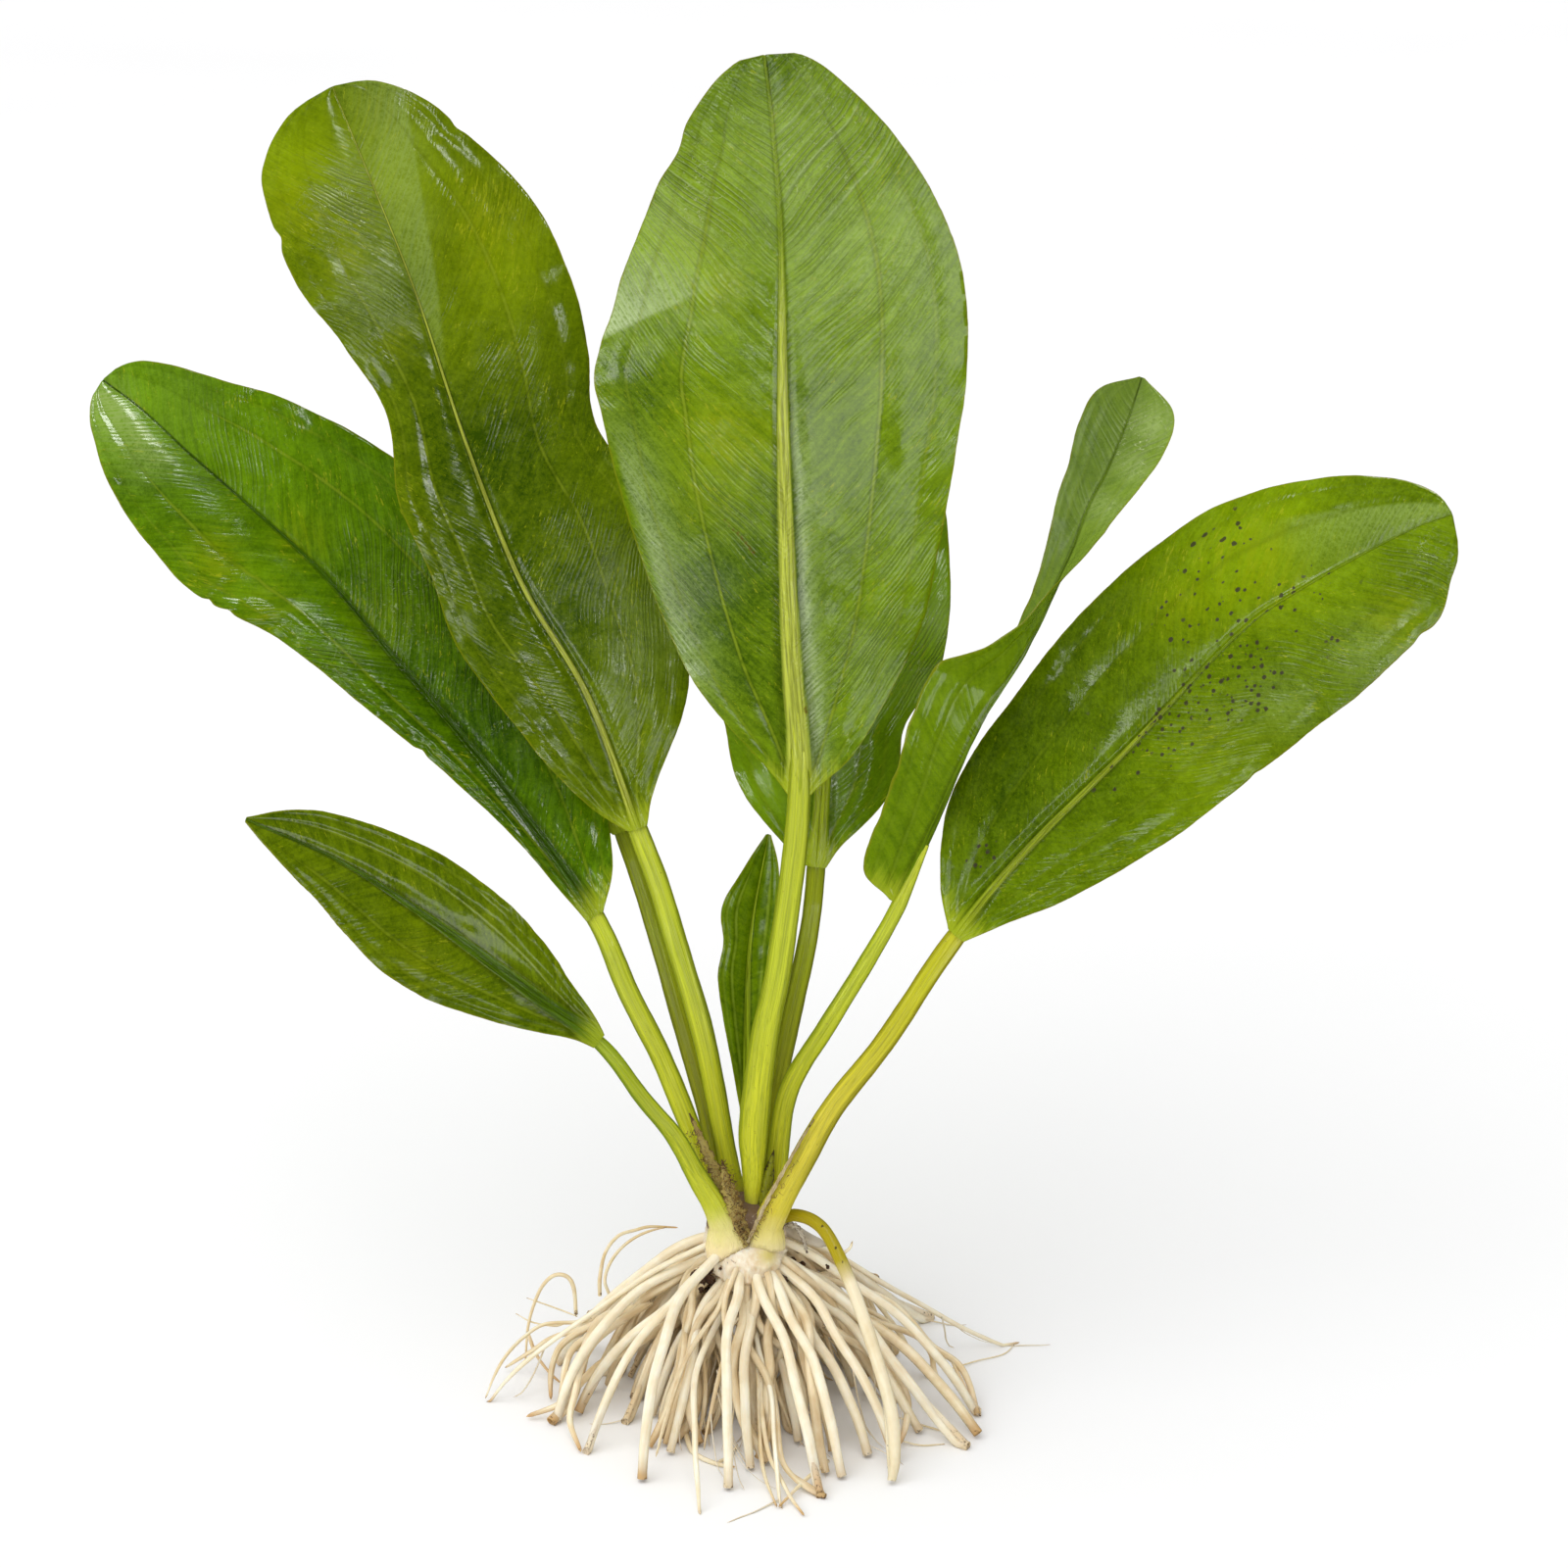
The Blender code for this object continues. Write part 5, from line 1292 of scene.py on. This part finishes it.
shootSettings = {
    "path": [(5.2, -1.4, 35.6), (8.2, -2.4, 37.2), (12, -4.6, 37), (15.2, -8, 34.5), (19.6, -16, 27.5),
             (23.4, -25, 19.5), (26.2, -32, 11.5), (26.8, -37, 4.5), (26.2, -39, 0.8)],
    "width": 2.5,
    "spots": [(10.5, 0.34), (15.5, 0.3), (13.2, 0.2), (18.6, 0.22)],  # mm along, size
    "hair": [(16.6, -10, 31.6), (17.4, -9.4, 32.4), (18.8, -9, 33.6), (19.3, -8.8, 35)],
}


def makeShoot():
    s = shootSettings
    path = smoothCurve(s["path"])
    shape, place, part, fromEnd = rootShape(path, s["width"], 21, 20, 120, 0.6, True, lumpy=0.7)
    along = place[:, 2]
    green = np.clip((23 - along) / 5, 0, 1)
    spots = np.zeros(len(along))
    angle = np.arctan2(place[:, 1], place[:, 0] - 21 * 7 % 50)
    for where, size in s["spots"]:
        gap = np.hypot(along - where, (angle - 1.2) * 1.2)
        spots = np.maximum(spots, 1.2 * np.exp(-(gap / size)**2))
    spots = spots + rootMarks(part, fromEnd, 0)[:, 0] * (part > 0.5)
    meshPiece("old_shoot_fine", shape, "old_shoot", "shoot", shootFinish, 60,
              place=place, marks=np.column_stack([spots, green, green * 0]))
    hair = smoothCurve(s["hair"])
    shape, place, part, fromEnd = rootShape(hair, 0.7, 22, 8, 24, 0.2, False)
    meshPiece("old_shoot_side_root", shape, None, "root", thinFinish, 60,
              place=place, marks=rootMarks(part, fromEnd, 0, 0.6, 0.1))


shootFinish = skinFinish("shoot_skin", rgb(240, 230, 200), rgb(220, 200, 156), 0.06, rgb(60, 44, 16),
                         rgb(172, 156, 22))
makeShoot()


scrapGrid = (14, 90)  # faces across and along

scrapSettings = {
    # path in mm, half width, how ragged its edges are, and how much it curls across
    "sheath_scrap_left": {"path": [(-0.9, -6.6, 32.6), (-2.0, -6.2, 37), (-3.7, -5.7, 42), (-4.8, -5.4, 46.5),
                                   (-5.4, -5.2, 50.2)],
                          "half": 2.0, "ragged": 0.3, "curl": 0.6, "tip": 0.04, "face": (0.1, -1, 0.1),
                          "start": 0.25},
    "sheath_scrap_right": {"path": [(2.4, -2.9, 37), (3.0, -2.9, 43), (4.4, -2.6, 51)],
                           "half": 1.5, "ragged": 0.06, "curl": 0.9, "tip": 0.04, "face": (0.1, -1, 0.1)},
    "sheath_edge_right": {"path": [(-0.6, -6.6, 33.6), (1.2, -7.0, 38), (2.9, -7.0, 42), (6.3, -7.3, 49),
                                   (9.8, -7.9, 56), (12.0, -8.3, 60)],
                          "half": 0.42, "ragged": 0.3, "curl": 0.3, "tip": 0.2, "face": (-0.5, -1, 0.3),
                          "dirt": 0.12},
    "sheath_edge_left": {"path": [(-3.2, -3.8, 37.5), (-5.2, -3.2, 43), (-7.5, -2.5, 48.5), (-9.8, -1.8, 54),
                                  (-11.6, -1.2, 58)],
                         "half": 1.3, "ragged": 0.35, "curl": 0.5, "tip": 0.1, "face": (0.4, -1, 0.1)},
    "withered_strip": {"path": [(6.4, -2.4, 35.4), (8.7, -3.4, 35.2), (9.9, -4.2, 33.2), (10.7, -4.4, 30.2)],
                       "half": 0.55, "ragged": 0.3, "curl": 0.3, "tip": 0.3, "face": (0.2, -1, 0.4)},
}


def makeScrap(name, s, finish):
    path = smoothCurve(s["path"])
    total = runLengths(path)[-1]
    dense = resample(path, np.linspace(0, total, 121))
    sheet, verts = doubleSheet(*scrapGrid)
    share = np.clip((verts[:, 1] + 1) / 2, 0, 1)
    seed = total + s["half"] * 10
    half = s["half"] * np.interp(share, (0, 0.22, 0.6, 0.9, 1),
                                 (s.get("start", 0.7), 1, 0.78, s["tip"] + 0.2, s["tip"]))
    tears = ripple(share * 9, seed) * (verts[:, 0] > 0) + ripple(share * 11, seed + 2) * (verts[:, 0] < 0)
    across = verts[:, 0] * half * (1 + s["ragged"] * tears * np.abs(verts[:, 0])**2)
    rows = resample(np.column_stack([dense, directionsOf(dense)]), share * total)
    direction = unit(rows[:, 3:])
    side = unit(np.cross(direction, np.array(s["face"], float)))
    out = np.cross(side, direction)
    rise = 0.12 * ripple(share * 7 + verts[:, 0], seed) - s["curl"] * verts[:, 0]**2 * half
    rise = rise + 0.16 * verts[:, 2]
    points = rows[:, :3] + side * across[:, None] + out * rise[:, None]
    placeVerts(sheet, points)
    edge = np.clip((np.abs(verts[:, 0]) - 0.6) / 0.4, 0, 1)
    dirt = s.get("dirt", 0.35) + 0.35 * edge + 0.4 * (share > 0.93)
    meshPiece(name + "_dry", sheet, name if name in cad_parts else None, "scrap", finish, 80,
              place=np.column_stack([across, verts[:, 2], share * total]),
              marks=np.column_stack([dirt, edge * 0.3, edge * 0]))


dryFinish = skinFinish("dry_sheath", rgb(184, 166, 92), rgb(146, 116, 66), 0.5, rgb(98, 70, 38),
                       rgb(160, 134, 90), 0.1)
edgeFinish = skinFinish("sheath_edge", rgb(214, 200, 156), rgb(156, 128, 84), 0.2, rgb(98, 70, 38),
                        rgb(176, 150, 104), 0.1)
oliveFinish = skinFinish("olive_sheath", rgb(150, 156, 30), rgb(120, 120, 26), 0.08, rgb(60, 46, 24),
                         rgb(120, 100, 60), 0.05)
paleFinish = skinFinish("pale_sheath", rgb(214, 206, 190), rgb(176, 162, 140), 0.12, rgb(92, 74, 56),
                        rgb(190, 180, 160), 0.1)
scrapFinishes = {"sheath_scrap_right": oliveFinish, "withered_strip": paleFinish,
                 "sheath_edge_right": edgeFinish}
for scrapName, scrapRow in scrapSettings.items():
    makeScrap(scrapName, scrapRow, scrapFinishes.get(scrapName, dryFinish))


def makeWithered():
    path = smoothCurve([(5.4, 0.4, 33.2), (7.9, 0.6, 32.4), (10.2, -0.4, 31.6), (12.6, -0.8, 30.6),
                        (14.5, -0.8, 30)])
    shape, place, part, fromEnd = rootShape(path, 2.6, 31, 18, 60, 0.5, False, lumpy=4)
    meshPiece("withered_root_fine", shape, "withered_root", "scrap", paleFinish, 60,
              place=place, marks=rootMarks(part, fromEnd, 0, 1.5, 0.12))


makeWithered()

crumbSettings = {
    "seed": 11,
    "fibres": 520,
    # where fibres grow: from, to, spread in mm and how many in ten
    "fibreRuns": [((-1.2, -6.6, 34.5), (-5.4, -5.4, 50), 0.6, 5), ((0.2, -7.4, 35), (9, -8.2, 52), 0.2, 1),
                  ((-4.2, -3.6, 38), (-11.4, -1.8, 55), 0.5, 3),
                  ((-7.9, -4.6, 25.4), (-2.6, -8.6, 30.6), 0.15, 1)],
    # where soil sits: place and spread in mm, how many crumbs, largest size
    "soil": [((-7.8, -4.6, 26.4), 0.5, 14, 0.8), ((-5.6, -7.0, 28.3), 0.3, 6, 0.5),
             ((-9.2, -5.6, 25.2), 1.2, 34, 1.6), ((-8.2, -3, 23.4), 2.2, 12, 1.3),
             ((5.4, -6.2, 25.4), 0.9, 24, 1.4), ((-1, -5, 20.6), 2.4, 14, 1.3),
             ((1.2, -6.8, 24.6), 0.9, 5, 0.9), ((7.4, 2, 24), 2, 10, 1.4), ((0, 7, 24), 3, 10, 1.4),
             ((14.4, -4.6, 27.4), 0.25, 2, 0.7)],
}


def makeFibres():
    s = crumbSettings
    rng = np.random.default_rng(s["seed"])
    rows = []
    for start, end, spread, tenths in s["fibreRuns"]:
        for _ in range(s["fibres"] * tenths // 10):
            base = np.array(start) + (np.array(end) - start) * rng.random()**1.3
            base = base + rng.normal(0, spread, 3) * (1, 0.5, 1)
            lean = np.array((rng.normal(0, 0.5), -0.35 - 0.4 * rng.random(), rng.uniform(-0.5, 1)))
            tip = base + unit(lean) * rng.uniform(0.4, 1.5)
            middle = (base + tip) / 2 + rng.normal(0, 0.15, 3)
            path = smoothCurve([base, middle, tip], 5)
            shape = stick(4, 7)
            fronts = np.tile((0.3, -1.0, 0.2), (len(path), 1))
            place, part = bendStick(shape, path, np.linspace(0.13, 0.05, len(path)), fronts)
            rows.append((shape, place, np.column_stack([np.full(len(part), rng.random()), part, part * 0])))
    gatherPiece("crown_fibres", rows, "scrap", fibreFinish, 80)


def makeSoil():
    s = crumbSettings
    rng = np.random.default_rng(s["seed"] + 1)
    rows = []
    for centre, spread, count, largest in s["soil"]:
        for _ in range(count):
            crumb = bmesh.new()
            bmesh.ops.create_icosphere(crumb, subdivisions=3, radius=1)
            size = largest * rng.uniform(0.3, 0.6)
            seed = rng.uniform(0, 90)
            verts = vertexArray(crumb)
            swell = size * (1 + 0.5 * noiseAt(verts, 1.3, seed) + 0.2 * noiseAt(verts, 4, seed))
            points = verts * swell[:, None] + np.array(centre) + rng.normal(0, spread, 3) * 0.6
            placeVerts(crumb, points)
            rows.append((crumb, points, points * 0))
    gatherPiece("soil_crumbs", rows, "scrap", soilFinish, 80)


fibreFinish = skinFinish("fibre", rgb(150, 118, 62), rgb(104, 78, 38), 0.1, rgb(58, 40, 24),
                         rgb(150, 112, 66), 0.0)
soilFinish = skinFinish("soil", rgb(84, 58, 40), rgb(52, 34, 24), 1.0, rgb(30, 20, 14), rgb(120, 90, 60), 0.0)
makeFibres()
makeSoil()
print("crown trimmings done")


# floor, light and camera

stageSettings = {
    "floor": 12.0,  # metres
    "target": (0.0063, 0.0, 0.1238),
    "elevation": 20,
    "distance": 0.72,
    "lens": 90,
    "world": 0.67,
    "inGloss": 0.01,  # how much of the room and floor shows in the gloss
    "sun": ((-0.42, -0.36, 0.84), 2.0, 80),  # where it comes from, strength, how wide in degrees
    "lamps": [
        # place, aim, size in metres, brightness; they only show in the gloss
        ((0.24, -0.33, 0.004), (0.24, -0.33, 1.0), (0.26, 0.3), 2.6),
        ((-0.32, -0.33, 0.004), (-0.32, -0.33, 1.0), (0.2, 0.16), 4.5),
        ((-0.12, -0.5, 0.004), (-0.12, -0.5, 1.0), (0.16, 0.1), 8.0),
        ((0.03, -0.68, 0.004), (0.03, -0.68, 1.0), (0.3, 0.2), 3.5),
        ((0.33, -0.54, 0.45), (0.03, 0.01, 0.17), (0.12, 0.12), 10.0),
        ((0.16, -0.02, 0.72), (-0.1, 0.03, 0.18), (0.16, 0.16), 16.0),
        ((0.08, -0.62, 0.12), (0.02, 0, 0.14), (0.1, 0.05), 10.0),
    ],
}


def makeStage():
    s = stageSettings
    floor = bmesh.new()
    bmesh.ops.create_grid(floor, x_segments=24, y_segments=24, size=s["floor"] / 2)
    mesh = bpy.data.meshes.new("floor")
    floor.to_mesh(mesh)
    floor.free()
    paper, tree, shader = newMaterial("white_paper", Specular_IOR_Level=0.25)
    spot = addNode(tree, "TexCoord").outputs["Object"]
    tone = noiseNode(tree, spot, 3.0, 2.0)
    glossy = addNode(tree, "LightPath").outputs["Is Glossy Ray"]
    white = blendColour(tree, tone, (0.9, 0.9, 0.9, 1), (0.93, 0.93, 0.935, 1))
    dimmed = blendColour(tree, glossy, white, (s["inGloss"], s["inGloss"], s["inGloss"], 1))
    fill(tree, dimmed, shader.inputs["Base Color"])
    fill(tree, fade(tree, tone, 0.0, 1.0, 0.6, 0.7), shader.inputs["Roughness"])
    mesh.materials.append(paper)
    sheet = addObject("floor", mesh)
    target = Vector(s["target"])
    for index, (place, aim, size, brightness) in enumerate(s["lamps"]):
        lamp = bpy.data.lights.new("softbox_" + str(index), "AREA")
        lamp.shape = "RECTANGLE"
        lamp.size, lamp.size_y = size
        lamp.energy = brightness * math.pi * size[0] * size[1]
        holder = addObject(lamp.name, lamp)
        holder.location = place
        holder.rotation_euler = (Vector(aim) - Vector(place)).to_track_quat("-Z", "Y").to_euler()
        holder.visible_camera = False
        holder.visible_diffuse = False
    towards, strength, wide = s["sun"]
    key = bpy.data.lights.new("key", "SUN")
    key.energy = strength
    key.angle = math.radians(wide)
    holder = addObject("key", key)
    holder.visible_glossy = False
    holder.rotation_euler = (-Vector(towards)).to_track_quat("-Z", "Y").to_euler()
    world = bpy.data.worlds.new("white_room")
    world.use_nodes = True
    # the room and the floor are dimmer in the gloss, as behind a polarising filter
    tree = world.node_tree
    glossy = addNode(tree, "LightPath").outputs["Is Glossy Ray"]
    strength = calc(tree, "MULTIPLY_ADD", glossy, s["inGloss"] - s["world"], s["world"])
    tree.nodes["Background"].inputs["Color"].default_value = (1, 1, 1, 1)
    fill(tree, strength, tree.nodes["Background"].inputs["Strength"])
    bpy.context.scene.world = world
    camera = addObject("camera", bpy.data.cameras.new("camera"))
    camera.data.lens = s["lens"]
    camera.data.sensor_width = 36
    tilt = math.radians(s["elevation"])
    camera.location = target + Vector((0, -math.cos(tilt), math.sin(tilt))) * s["distance"]
    camera.rotation_euler = (math.radians(90 - s["elevation"]), 0, 0)
    bpy.context.scene.camera = camera
    bpy.context.scene.view_settings.view_transform = "Standard"


makeStage()
print("stage done")
